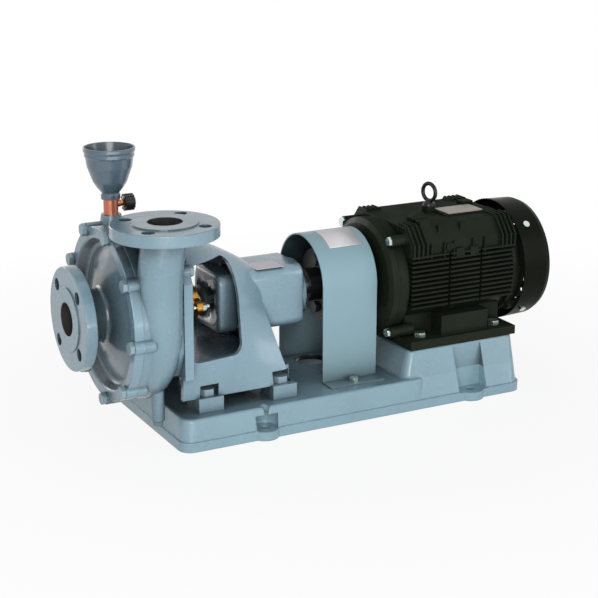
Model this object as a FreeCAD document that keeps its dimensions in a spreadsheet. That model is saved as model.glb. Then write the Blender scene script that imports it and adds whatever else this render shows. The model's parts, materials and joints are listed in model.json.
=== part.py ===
import FreeCAD, Part
import math
import os
import Sketcher
from FreeCAD import Placement, Rotation, Vector

# Horizontal end-suction pump with its motor on a common cast bedplate.
# Origin: centre of the foundation bolt pattern, at floor level.
# +X runs along the shaft from the pump to the motor, -Y is the discharge side, +Z is up.

SIZES = {
    # general heights and reach
    "deck_height": 48.0,
    "pump_height": 140.0,
    "motor_height": 100.0,
    "suction_reach": 446.0,
    # foundation
    "anchor_span": 368.0,
    "anchor_width": 236.0,
    "anchor_hole": 15.0,
    "anchor_lug_radius": 22.0,
    "anchor_lug_height": 14.0,
    # bedplate
    "base_front": 322.0,
    "base_length": 600.0,
    "base_foot_width": 262.0,
    "base_deck_width": 248.0,
    "base_wall": 8.0,
    "base_corner": 20.0,
    "lip_height": 15.0,
    "lip_step": 2.5,
    "pedestal_length": 200.0,
    "pedestal_width": 207.0,
    "pedestal_slope": 30.0,
    "edge_round": 5.0,
    "grout_hole": 50.0,
    "grout_station": 425.0,
    "grout_offset": 38.0,
    # pipe flanges
    "flange_radius": 77.5,
    "flange_thick": 20.0,
    "face_radius": 48.0,
    "face_step": 2.0,
    "bore_radius": 25.0,
    "bolt_circle": 60.0,
    "bolt_hole": 9.5,
    "discharge_station": 108.0,
    "discharge_offset": 118.0,
    "discharge_rise": 160.0,
    # suction cover and casing, stations measured from the suction face
    "cover_station": 54.0,
    "cover_rim": 14.0,
    "cover_radius": 130.0,
    "cover_bolt_radius": 128.0,
    "cover_lug": 10.0,
    "dish_radius": 113.0,
    "neck_radius": 39.0,
    "register_radius": 120.0,
    "fit_gap": 0.2,
    "seat_gap": 0.02,
    "thread_gap": 0.15,
    "tapped_gap": 0.1,
    "shield_gap": 0.2,
    "loose_gap": 0.3,
    "gasket_thick": 1.0,
    "casing_rim": 13.0,
    "scroll_station": 101.0,
    "scroll_start": 9.0,
    "scroll_end": 24.0,
    "scroll_base": 84.0,
    "casing_wall": 8.0,
    "chamber_back": 110.0,
    "casing_back": 134.0,
    "gland_bore": 26.0,
    "box_radius": 41.0,
    "box_end": 184.0,
    "throat_wall": 12.0,
    "packing_size": 9.0,
    "gland_stud_reach": 33.5,
    "gland_stand": 6.0,
    "gland_thick": 9.0,
    "drain_station": 107.0,
    "drain_offset": 78.0,
    "drain_drop": 148.0,
    "drain_radius": 10.0,
    # rotating parts of the pump
    "impeller_radius": 78.0,
    "impeller_setback": 4.0,
    "impeller_plate": 4.0,
    "impeller_width": 9.0,
    "impeller_nose": 14.0,
    "impeller_hub": 22.0,
    "impeller_eye": 27.0,
    "ring_seat": 37.0,
    "vane_count": 6.0,
    "impeller_key": 7.0,
    "coupling_key": 8.0,
    "sleeve_stand": 22.0,
    "shaft_end": 430.0,
    "impeller_seat": 12.0,
    "sleeve_seat": 13.0,
    "sleeve_radius": 16.0,
    "journal": 15.0,
    "coupling_seat": 14.0,
    # bearing bracket
    "bracket_flange": 14.0,
    "bracket_radius": 136.0,
    "bracket_half_width": 120.0,
    "bracket_bolt_outer": 130.0,
    "bracket_bolt_inner": 90.0,
    "bracket_lug": 11.0,
    "lantern_radius": 117.0,
    "lantern_wall": 8.0,
    "barrel_radius": 45.0,
    "barrel_start": 238.0,
    "barrel_end": 366.0,
    "bearing_outer": 36.0,
    "bearing_width": 19.0,
    "front_seat_inset": 2.0,
    "back_seat_inset": 4.0,
    "window_end": 240.0,
    "window_top": 78.0,
    "window_low": 62.0,
    "window_corner": 16.0,
    "foot_front": 182.0,
    "foot_pitch": 122.0,
    "foot_half": 84.0,
    "foot_pad": 40.0,
    "foot_thick": 20.0,
    # coupling and guard
    "coupling_gap": 3.0,
    "coupling_radius": 56.0,
    "coupling_hub": 26.0,
    "coupling_length": 40.0,
    "coupling_flange": 16.0,
    "coupling_pin_circle": 38.0,
    "bush_radius": 9.0,
    "pin_gap": 0.05,
    "guard_start": 385.0,
    "guard_length": 95.0,
    "guard_half": 74.0,
    "guard_rise": 9.0,
    "guard_sheet": 2.3,
    "guard_foot": 28.0,
    # motor
    "motor_foot_front": 557.0,
    "motor_foot_pitch": 140.0,
    "motor_foot_half": 80.0,
    "motor_foot_thick": 14.0,
    "motor_nose": 63.0,
    "frame_overhang": 30.0,
    "frame_length": 200.0,
    "frame_bore": 70.0,
    "frame_radius": 82.0,
    "frame_half": 98.0,
    "frame_top": 96.0,
    "shield_radius": 96.0,
    "shield_bolt_radius": 104.0,
    "shield_lug": 9.0,
    "motor_bearing_outer": 31.0,
    "motor_bearing_width": 16.0,
    "motor_bearing_front": 27.0,
    "motor_bearing_rear": 8.0,
    "core_start": 33.0,
    "core_length": 108.0,
    "rotor_radius": 45.0,
    "rotor_bore": 20.0,
    "winding_reach": 22.0,
    "winding_radius": 66.0,
    "air_gap": 0.5,
    "fan_radius": 78.0,
    "cowl_radius": 100.0,
    "cowl_sheet": 1.6,
    "cowl_start": 742.0,
    "cowl_end": 799.0,
    "eye_ring": 13.9,
    "eye_wire": 3.2,
    "terminal_width": 84.0,
    "terminal_low": 24.0,
    "terminal_high": 66.0,
    "terminal_depth": 46.0,
    "terminal_wall": 4.0,
    "plate_length": 66.0,
    "plate_width": 42.0,
    # priming funnel
    "funnel_station": 84.0,
    "funnel_offset": 26.0,
    "funnel_base": 143.0,
    "nipple_radius": 10.8,
    "nipple_length": 23.0,
    "funnel_radius": 38.0,
    "funnel_height": 77.0,
    "funnel_wall": 3.0,
    "cock_rise": 15.0,
    "cock_stem": 3.0,
    "knob_radius": 11.5,
}

doc = FreeCAD.newDocument("CentrifugalPump")
sheet = doc.addObject("Spreadsheet::Sheet", "Sizes")
for row, (alias, value) in enumerate(SIZES.items(), 1):
    sheet.set("A%d" % row, alias)
    sheet.set("B%d" % row, str(value))
    sheet.setAlias("B%d" % row, alias)
doc.recompute()


class Size:
    """A length with the spreadsheet expression that gives it."""

    def __init__(self, value, text):
        self.value = float(value)
        self.text = text

    def __add__(self, other):
        other = as_size(other)
        return Size(self.value + other.value, "(%s + %s)" % (self.text, other.text))

    def __sub__(self, other):
        other = as_size(other)
        return Size(self.value - other.value, "(%s - %s)" % (self.text, other.text))

    def __mul__(self, other):
        other = as_size(other)
        return Size(self.value * other.value, "(%s * %s)" % (self.text, other.text))

    def __truediv__(self, other):
        other = as_size(other)
        return Size(self.value / other.value, "(%s / %s)" % (self.text, other.text))

    def __radd__(self, other):
        return as_size(other) + self

    def __rsub__(self, other):
        return as_size(other) - self

    def __rmul__(self, other):
        return as_size(other) * self

    def __neg__(self):
        return Size(-self.value, "(0 - %s)" % self.text)

    def __float__(self):
        return self.value


def as_size(item):
    if isinstance(item, Size):
        return item
    return Size(item, "(%r)" % float(item))


class Named:
    """Reads a named cell of the sheet as a Size."""

    def __getattr__(self, alias):
        return Size(sheet.get(alias), "Sizes." + alias)


n = Named()
shaft_z = n.deck_height + n.pump_height
pedestal_z = shaft_z - n.motor_height


def at(station):
    """World X of a station measured from the suction face."""
    return as_size(station) - n.suction_reach


# Document helpers

def bind(item, prop, size):
    size = as_size(size)
    setattr(item, prop, size.value)
    item.setExpression(prop, size.text)


def place(item, x=0.0, y=0.0, z=0.0, turn=None):
    spots = [as_size(v) for v in (x, y, z)]
    item.Placement = Placement(Vector(*[v.value for v in spots]), turn or Rotation())
    for axis, spot in zip("xyz", spots):
        item.setExpression("Placement.Base." + axis, spot.text)


def origin_item(body, role):
    return [item for item in body.Origin.OriginFeatures if item.Role == role][0]


def new_body(label, z=0.0):
    body = doc.addObject("PartDesign::Body", label)
    body.Label = label
    place(body, z=z)
    return body


def new_sketch(body, role, offset=0.0):
    sketch = body.newObject("Sketcher::SketchObject", body.Name + "_profile")
    sketch.AttachmentSupport = (origin_item(body, role), [""])
    sketch.MapMode = "FlatFace"
    offset = as_size(offset)
    sketch.AttachmentOffset = Placement(Vector(0, 0, offset.value), Rotation())
    sketch.setExpression("AttachmentOffset.Base.z", offset.text)
    return sketch


def apply_constraints(sketch, rules):
    """Adds constraints; each rule is the constraint and its Size, or None."""
    first = sketch.ConstraintCount
    sketch.addConstraint([rule for rule, _ in rules])
    for index, (_, size) in enumerate(rules):
        if size is not None:
            sketch.setExpression("Constraints[%d]" % (first + index), size.text)


def pin_point(index, end, x, y):
    x, y = as_size(x), as_size(y)
    return [
        (Sketcher.Constraint("DistanceX", -1, 1, index, end, x.value), x),
        (Sketcher.Constraint("DistanceY", -1, 1, index, end, y.value), y),
    ]


def outline(sketch, points):
    """Closed outline. A point is (x, y), or (x, y, mid) where mid is a point
    on the arc from this point to the next."""
    count = len(points)
    first = sketch.GeometryCount
    spots = [Vector(float(p[0]), float(p[1]), 0) for p in points]
    mids = []
    for index, point in enumerate(points):
        start, end = spots[index], spots[(index + 1) % count]
        if len(point) == 3:
            mid = Vector(float(point[2][0]), float(point[2][1]), 0)
            sketch.addGeometry(Part.Arc(start, mid, end))
            mids.append((first + index, point[2]))
        else:
            sketch.addGeometry(Part.LineSegment(start, end))
    rules = []
    ends = {}
    for index in range(count):
        ends[index] = arc_ends(sketch, first + index, spots[index])
    for index in range(count):
        after = (index + 1) % count
        joint = Sketcher.Constraint(
            "Coincident", first + index, ends[index][1], first + after, ends[after][0])
        rules.append((joint, None))
    for index, point in enumerate(points):
        rules += pin_point(first + index, ends[index][0], point[0], point[1])
    for curve, mid in mids:
        spot = Vector(float(mid[0]), float(mid[1]), 0)
        marker = sketch.addGeometry(Part.Point(spot), True)
        rules += pin_point(marker, 1, mid[0], mid[1])
        rules.append((Sketcher.Constraint("PointOnObject", marker, 1, curve), None))
    apply_constraints(sketch, rules)


def arc_ends(sketch, index, start):
    """Which vertex numbers of a curve are its start and its end."""
    if sketch.getPoint(index, 1).distanceToPoint(start) < 1e-6:
        return (1, 2)
    return (2, 1)


def disc(sketch, x, y, radius):
    index = sketch.addGeometry(Part.Circle(Vector(float(x), float(y), 0), Vector(0, 0, 1), float(radius)))
    radius = as_size(radius)
    rules = pin_point(index, 3, x, y)
    rules.append((Sketcher.Constraint("Radius", index, radius.value), radius))
    apply_constraints(sketch, rules)


def rectangle(sketch, x0, x1, y0, y1):
    outline(sketch, [(x0, y0), (x1, y0), (x1, y1), (x0, y1)])


def rounded_rectangle(sketch, x0, x1, y0, y1, radius):
    """Rectangle with round corners, each a quarter circle through its middle."""
    r = as_size(radius)
    near = r * (1 - math.sqrt(0.5))
    outline(sketch, [
        (x0 + r, y0),
        (x1 - r, y0, (x1 - near, y0 + near)),
        (x1, y0 + r),
        (x1, y1 - r, (x1 - near, y1 - near)),
        (x1 - r, y1),
        (x0 + r, y1, (x0 + near, y1 - near)),
        (x0, y1 - r),
        (x0, y0 + r, (x0 + near, y0 + near)),
    ])


def feature(body, kind, sketch):
    item = body.newObject("PartDesign::" + kind, body.Name + "_" + kind.lower())
    item.Profile = sketch
    return item


def revolve(body, points, kind="Revolution", role="XZ_Plane", axis="H_Axis"):
    sketch = new_sketch(body, role)
    outline(sketch, points)
    item = feature(body, kind, sketch)
    item.ReferenceAxis = (sketch, [axis])
    item.Angle = 360
    return item


def extrude(body, sketch, length, kind="Pad", back=False):
    item = feature(body, kind, sketch)
    bind(item, "Length", length)
    item.Reversed = back
    return item


def cut_through(body, sketch):
    item = feature(body, "Pocket", sketch)
    item.Type = 1
    item.Midplane = True
    return item


def loft(body, sketches, kind="AdditiveLoft"):
    item = feature(body, kind, sketches[0])
    item.Sections = sketches[1:]
    item.Ruled = True
    return item


def around(body, originals, count, role="X_Axis"):
    item = body.newObject("PartDesign::PolarPattern", body.Name + "_around")
    item.Originals = originals
    item.Axis = (origin_item(body, role), [""])
    item.Angle = 360
    item.Occurrences = int(round(float(count)))
    body.Tip = item
    return item


def in_line(body, originals, role, count, length):
    item = body.newObject("PartDesign::LinearPattern", body.Name + "_row")
    item.Originals = originals
    item.Direction = (origin_item(body, role), [""])
    bind(item, "Length", length)
    item.Occurrences = int(count)
    body.Tip = item
    return item


def edge_names(shape, test):
    return ["Edge%d" % (i + 1) for i, edge in enumerate(shape.Edges) if test(edge)]


def round_edges(body, radius, test, kind="Fillet"):
    doc.recompute()
    base = body.Tip
    names = edge_names(base.Shape, test)
    if not names:
        raise RuntimeError("no edges to round on " + body.Label)
    item = body.newObject("PartDesign::" + kind, body.Name + "_" + kind.lower())
    item.Base = (base, names)
    bind(item, "Radius" if kind == "Fillet" else "Size", radius)
    body.Tip = item
    return item


def ring_at(x, radius):
    """Test for a circular edge about the shaft at one axial place and radius."""
    x, radius = float(x), float(radius)

    def test(edge):
        curve = edge.Curve
        if not isinstance(curve, Part.Circle):
            return False
        flat = abs(abs(curve.Axis.x) - 1) < 1e-6 and abs(curve.Center.x - x) < 0.05
        return flat and abs(curve.Radius - radius) < 0.05
    return test


def any_ring(places):
    tests = [ring_at(x, r) for x, r in places]

    def test(edge):
        return any(one(edge) for one in tests)
    return test


def solid_feature(label, shape, z=0.0):
    item = doc.addObject("Part::Feature", label)
    item.Label = label
    item.Shape = shape
    place(item, z=z)
    return item


# Shape helpers for grouped fasteners and free forms

def tube(start, length, outer, inner, axis=Vector(1, 0, 0), centre=(0.0, 0.0)):
    """Ring about an axis parallel to X; centre is its Y and Z."""
    base = Vector(float(start), float(centre[0]), float(centre[1]))
    body = Part.makeCylinder(float(outer), float(length), base, axis)
    if float(inner) <= 0:
        return body
    return body.cut(Part.makeCylinder(float(inner), float(length), base, axis))


def prism(base, axis, across_flats, height, turn=0.0):
    """Hexagonal head or nut with its flats across_flats apart."""
    radius = across_flats / math.sqrt(3)
    frame = Placement(base, Rotation(Vector(0, 0, 1), axis))
    corners = []
    for k in range(7):
        a = math.radians(60 * k + turn)
        corners.append(Vector(radius * math.cos(a), radius * math.sin(a), 0))
    body = Part.Face(Part.makePolygon(corners)).extrude(Vector(0, 0, height))
    crown = Part.makeCone(radius * 1.02, radius * 0.9, height * 0.25, Vector(0, 0, height * 0.75))
    body = body.common(Part.makeCylinder(radius * 1.02, height * 0.75).fuse(crown))
    body.Placement = frame
    return body


def bolt(seat, axis, shank_radius, shank_length, across_flats, head, turn=0.0):
    """Hexagon bolt: head above its seat along axis, shank below it."""
    head_shape = prism(seat, axis, across_flats, head, turn)
    shank = Part.makeCylinder(shank_radius, shank_length, seat, axis * -1)
    return head_shape.fuse(shank).removeSplitter()


def ring_spots(radius, count, first_degrees):
    """Points round the shaft; angle 0 is the near side (-Y) and it grows upwards."""
    spots = []
    for k in range(int(count)):
        a = math.radians(first_degrees + 360.0 * k / count)
        spots.append((-radius * math.cos(a), radius * math.sin(a)))
    return spots


COVER_BOLTS = 9
COVER_FIRST = -46.5

M16 = {"shank": 8.0, "flats": 24.0, "head": 10.0}
M10 = {"shank": 5.0, "flats": 17.0, "head": 7.0}
M8 = {"shank": 4.0, "flats": 13.0, "head": 5.5}
M6 = {"shank": 3.0, "flats": 10.0, "head": 4.0}
CAP_SCREW = {"shank": 2.5, "flats": 8.0, "head": 4.0}

nodes = []


def hole_for(size, gap=None):
    """Radius of the hole that a bolt passes through, with the plain gap where no other is given."""
    if gap is None:
        gap = n.thread_gap
    return gap + size["shank"]


def keep(item):
    nodes.append(item)
    return item


# Bedplate

def level_edge(height, x_min=None, x_max=None, half=None):
    """Test for flat edges at one height, within a range of X and half width."""

    def test(edge):
        box = edge.BoundBox
        if box.ZLength > 0.01 or abs(box.ZMax - float(height)) > 0.01:
            return False
        if x_min is None:
            return True
        return box.XMin > float(x_min) and box.XMax < float(x_max) and box.YMax < float(half)
    return test


def make_bedplate():
    body = new_body("bedplate")
    x0 = -n.base_front
    x1 = x0 + n.base_length
    half_foot = n.base_foot_width / 2
    half_deck = n.base_deck_width / 2
    draft = half_foot - half_deck
    top = pedestal_z

    def box_sketch(z, left, right, half, radius):
        sketch = new_sketch(body, "XY_Plane", z)
        rounded_rectangle(sketch, left, right, -half, half, radius)
        return sketch

    extrude(body, box_sketch(0, x0, x1, half_foot, n.base_corner), n.lip_height)
    step = n.lip_step
    ped_x0 = x1 - n.pedestal_length
    ped_half = n.pedestal_width / 2
    slope = n.pedestal_slope
    deck_end = ped_x0 + n.base_corner
    low = box_sketch(n.lip_height, x0 + step, deck_end, half_foot - step, n.base_corner)
    high = box_sketch(n.deck_height, x0 + draft, deck_end, half_deck, n.base_corner - step)
    loft(body, [low, high])
    round_edges(body, n.edge_round, level_edge(n.deck_height))
    low = box_sketch(n.lip_height, ped_x0 - slope, x1 - step, half_foot - step - 0.5, n.base_corner)
    high = box_sketch(top, ped_x0, x1 - step - 1, ped_half, n.base_corner * 0.6)
    loft(body, [low, high])
    round_edges(body, n.edge_round, level_edge(top))
    foot_x = ped_x0 - slope * 0.7
    half_front = half_deck - n.base_corner
    round_edges(body, n.edge_round, level_edge(n.deck_height, foot_x, foot_x + 12, half_front))

    wall = n.base_wall
    inner_top = n.deck_height - wall
    low = box_sketch(0, x0 + wall, ped_x0, half_foot - wall, n.base_corner - wall)
    high = box_sketch(inner_top, x0 + draft + wall, ped_x0, half_deck - wall, n.base_corner - wall)
    loft(body, [low, high], "SubtractiveLoft")
    low = box_sketch(0, ped_x0 - slope + wall, x1 - wall, half_foot - wall - 1, n.base_corner - wall)
    inner_corner = n.base_corner * 0.6 - 2
    high = box_sketch(top - wall, ped_x0 + wall, x1 - wall - step - 1, ped_half - wall, inner_corner)
    loft(body, [low, high], "SubtractiveLoft")

    rib = wall * 0.8
    sketch = new_sketch(body, "XY_Plane", wall * 0.75)
    reach = half_deck - step
    for share in (0.22, 0.46):
        x = x0 + n.base_length * share
        rectangle(sketch, x, x + rib, -reach, reach)
    extrude(body, sketch, inner_top - wall * 0.5)

    post_wall = n.base_wall
    post_half = n.anchor_lug_radius + post_wall
    anchor_y = n.anchor_width / 2
    anchor_x = n.anchor_span / 2
    post_in = anchor_y - n.anchor_lug_radius - post_wall
    for side in (-1, 1):
        sketch = new_sketch(body, "XY_Plane", 0)
        edges = [side * post_in, side * (half_deck - 1)]
        edges.sort(key=float)
        rectangle(sketch, -anchor_x - post_half, -anchor_x + post_half, edges[0], edges[1])
        extrude(body, sketch, inner_top + 1)
        low_edges = [side * post_in, side * (half_foot - step - 3)]
        low_edges.sort(key=float)
        high_edges = [side * post_in, side * (ped_half - 1)]
        high_edges.sort(key=float)
        low = new_sketch(body, "XY_Plane", n.lip_height)
        rectangle(low, anchor_x - post_half, anchor_x + post_half, low_edges[0], low_edges[1])
        high = new_sketch(body, "XY_Plane", top - wall + 1)
        rectangle(high, anchor_x - post_half, anchor_x + post_half, high_edges[0], high_edges[1])
        loft(body, [low, high])
        sketch = new_sketch(body, "XY_Plane", 0)
        rectangle(sketch, anchor_x - post_half, anchor_x + post_half, low_edges[0], low_edges[1])
        extrude(body, sketch, n.lip_height)

    sketch = new_sketch(body, "XY_Plane", 0)
    for sx in (-1, 1):
        for sy in (-1, 1):
            disc(sketch, sx * anchor_x, sy * anchor_y, n.anchor_lug_radius)
    extrude(body, sketch, n.anchor_lug_height)

    pocket_radius = n.anchor_lug_radius - 2
    sketch = new_sketch(body, "XY_Plane", n.anchor_lug_height)
    for sy in (-1, 1):
        disc(sketch, -anchor_x, sy * anchor_y, pocket_radius)
    extrude(body, sketch, n.deck_height * 0.46, "Pocket", back=True)
    sketch = new_sketch(body, "XY_Plane", n.anchor_lug_height)
    panel = n.anchor_lug_radius + 4
    for side in (-1, 1):
        edges = [side * (ped_half + 0.5), side * half_foot]
        edges.sort(key=float)
        rectangle(sketch, anchor_x - panel, anchor_x + panel, edges[0], edges[1])
    extrude(body, sketch, top - n.anchor_lug_height, "Pocket", back=True)

    sketch = new_sketch(body, "XY_Plane", 0)
    for sx in (-1, 1):
        for sy in (-1, 1):
            disc(sketch, sx * anchor_x, sy * anchor_y, n.anchor_hole / 2)
    disc(sketch, at(n.grout_station), n.grout_offset, n.grout_hole / 2)
    for station in (n.foot_front, n.foot_front + n.foot_pitch):
        for sy in (-1, 1):
            disc(sketch, at(station), sy * n.foot_half, hole_for(M16))
    for sy in (-1, 1):
        disc(sketch, at(n.guard_start + n.guard_length / 2), sy * guard_bolt_y(), hole_for(M8))
        for station in (n.motor_foot_front, n.motor_foot_front + n.motor_foot_pitch):
            disc(sketch, at(station), sy * n.motor_foot_half, hole_for(M10))
    cut_through(body, sketch)
    return keep(body)


def guard_bolt_y():
    return n.guard_half + n.guard_foot / 2


# Suction cover: inlet flange, neck, dished wall, rim and bolt lugs

def flange_holes(body, plane, offset, depth, back=False):
    """Bolt holes of a pipe flange, straddling the centre lines."""
    sketch = new_sketch(body, plane, offset)
    half = n.bolt_circle * math.sqrt(0.5)
    for sx in (-1, 1):
        for sy in (-1, 1):
            disc(sketch, sx * half, sy * half, n.bolt_hole)
    return extrude(body, sketch, depth, "Pocket", back)


def cover_rim_end():
    return n.cover_station + n.cover_rim


def casing_face():
    return cover_rim_end() + n.gasket_thick


def make_suction_cover():
    body = new_body("suction_cover", shaft_z)
    rim = cover_rim_end()
    spigot = n.register_radius - n.fit_gap
    seat = n.ring_seat
    profile = [
        (at(0), n.bore_radius),
        (at(0), n.face_radius),
        (at(n.face_step), n.face_radius),
        (at(n.face_step), n.flange_radius),
        (at(n.flange_thick), n.flange_radius),
        (at(n.flange_thick), n.neck_radius),
        (at(n.cover_station - 2), n.neck_radius),
        (at(n.cover_station + 18), n.dish_radius - 8),
        (at(n.cover_station), n.dish_radius),
        (at(n.cover_station), n.cover_radius),
        (at(rim), n.cover_radius),
        (at(rim), spigot),
        (at(rim + n.gasket_thick + n.casing_rim - 0.5), spigot),
        (at(rim + n.gasket_thick + n.casing_rim - 0.5), n.dish_radius - 6),
        (at(n.cover_station + 9), seat + 8),
        (at(n.cover_station + 18), seat + 8),
        (at(n.cover_station + 18), seat),
        (at(n.cover_station + 6), seat),
        (at(n.cover_station + 6), n.bore_radius),
    ]
    revolve(body, profile)
    doc.recompute()
    dish = any_ring([
        (at(n.cover_station - 2), n.neck_radius),
        (at(n.cover_station + 18), n.dish_radius - 8),
    ])
    round_edges(body, 7, dish)
    crests = any_ring([
        (at(n.cover_station), n.dish_radius),
        (at(n.flange_thick), n.neck_radius),
    ])
    round_edges(body, 4, crests)
    corners = any_ring([
        (at(n.face_step), n.flange_radius),
        (at(n.flange_thick), n.flange_radius),
        (at(n.cover_station), n.cover_radius),
    ])
    round_edges(body, 1.5, corners)
    first = ring_spots(1.0, COVER_BOLTS, COVER_FIRST)[0]
    sketch = new_sketch(body, "YZ_Plane", at(n.cover_station - 2))
    spot = (n.cover_bolt_radius * first[0], n.cover_bolt_radius * first[1])
    disc(sketch, spot[0], spot[1], n.cover_lug)
    lug = extrude(body, sketch, n.cover_rim + 2)
    around(body, [lug], COVER_BOLTS)
    sketch = new_sketch(body, "YZ_Plane", at(n.cover_station - 3))
    disc(sketch, spot[0], spot[1], hole_for(M10))
    hole = extrude(body, sketch, n.cover_rim + 4, "Pocket", back=True)
    around(body, [hole], COVER_BOLTS)
    flange_holes(body, "YZ_Plane", at(0), n.flange_thick, back=True)
    return keep(body)


def make_gasket():
    body = new_body("cover_gasket", shaft_z)
    face = casing_face()
    revolve(body, [
        (at(face - n.gasket_thick), n.register_radius),
        (at(face - n.gasket_thick), n.cover_radius),
        (at(face), n.cover_radius),
        (at(face), n.register_radius),
    ])
    first = ring_spots(1.0, COVER_BOLTS, COVER_FIRST)[0]
    sketch = new_sketch(body, "YZ_Plane", at(face - n.gasket_thick))
    disc(sketch, n.cover_bolt_radius * first[0], n.cover_bolt_radius * first[1], n.cover_lug)
    ear = extrude(body, sketch, n.gasket_thick)
    around(body, [ear], COVER_BOLTS)
    sketch = new_sketch(body, "YZ_Plane", at(face - n.gasket_thick))
    disc(sketch, n.cover_bolt_radius * first[0], n.cover_bolt_radius * first[1], hole_for(M10))
    hole = extrude(body, sketch, n.gasket_thick, "Pocket", back=True)
    around(body, [hole], COVER_BOLTS)
    sketch = new_sketch(body, "YZ_Plane", at(face - n.gasket_thick))
    disc(sketch, 0, 0, n.register_radius)
    extrude(body, sketch, n.gasket_thick, "Pocket", back=True)
    return keep(body)


# Volute casing: spiral of growing round sections that runs out to the discharge flange

SCROLL_FIRST = 60.0
SCROLL_SECTIONS = 11


def scroll_wires(extra, reach):
    """Round sections of the spiral and its outlet, widened by extra."""
    wires = []
    x = float(at(n.scroll_station))
    sweep = 360.0 - SCROLL_FIRST
    for k in range(SCROLL_SECTIONS):
        share = k / (SCROLL_SECTIONS - 1.0)
        a = math.radians(SCROLL_FIRST + sweep * share)
        radius = float(n.scroll_start) + (float(n.scroll_end) - float(n.scroll_start)) * share
        middle = float(n.scroll_base) + radius
        centre = Vector(x, -middle * math.cos(a), middle * math.sin(a))
        along = Vector(0, math.sin(a), math.cos(a))
        wires.append(Part.Wire(Part.makeCircle(radius + extra, centre, along)))
    start_y = -(float(n.scroll_base) + float(n.scroll_end))
    end_y = -float(n.discharge_offset)
    end_x = float(at(n.discharge_station))
    neck_end = float(n.discharge_rise - n.flange_thick)
    for share, shift in ((0.3, 0.0), (0.6, 0.0), (0.8, 0.35), (1.0, 1.0)):
        ease = share * share * (3 - 2 * share)
        centre = Vector(x + (end_x - x) * shift, start_y + (end_y - start_y) * ease, neck_end * share)
        radius = float(n.scroll_end) + (float(n.bore_radius) - float(n.scroll_end)) * ease
        wires.append(Part.Wire(Part.makeCircle(radius + extra, centre, Vector(0, 0, 1))))
    if reach > 0:
        top = Vector(end_x, end_y, neck_end + reach)
        wires.append(Part.Wire(Part.makeCircle(float(n.bore_radius) + extra, top, Vector(0, 0, 1))))
    return wires


def casing_lugs(start, length, radius):
    lugs = []
    for y, z in ring_spots(float(n.cover_bolt_radius), COVER_BOLTS, COVER_FIRST):
        lugs.append(tube(start, length, radius, 0, centre=(y, z)))
    return lugs


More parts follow.
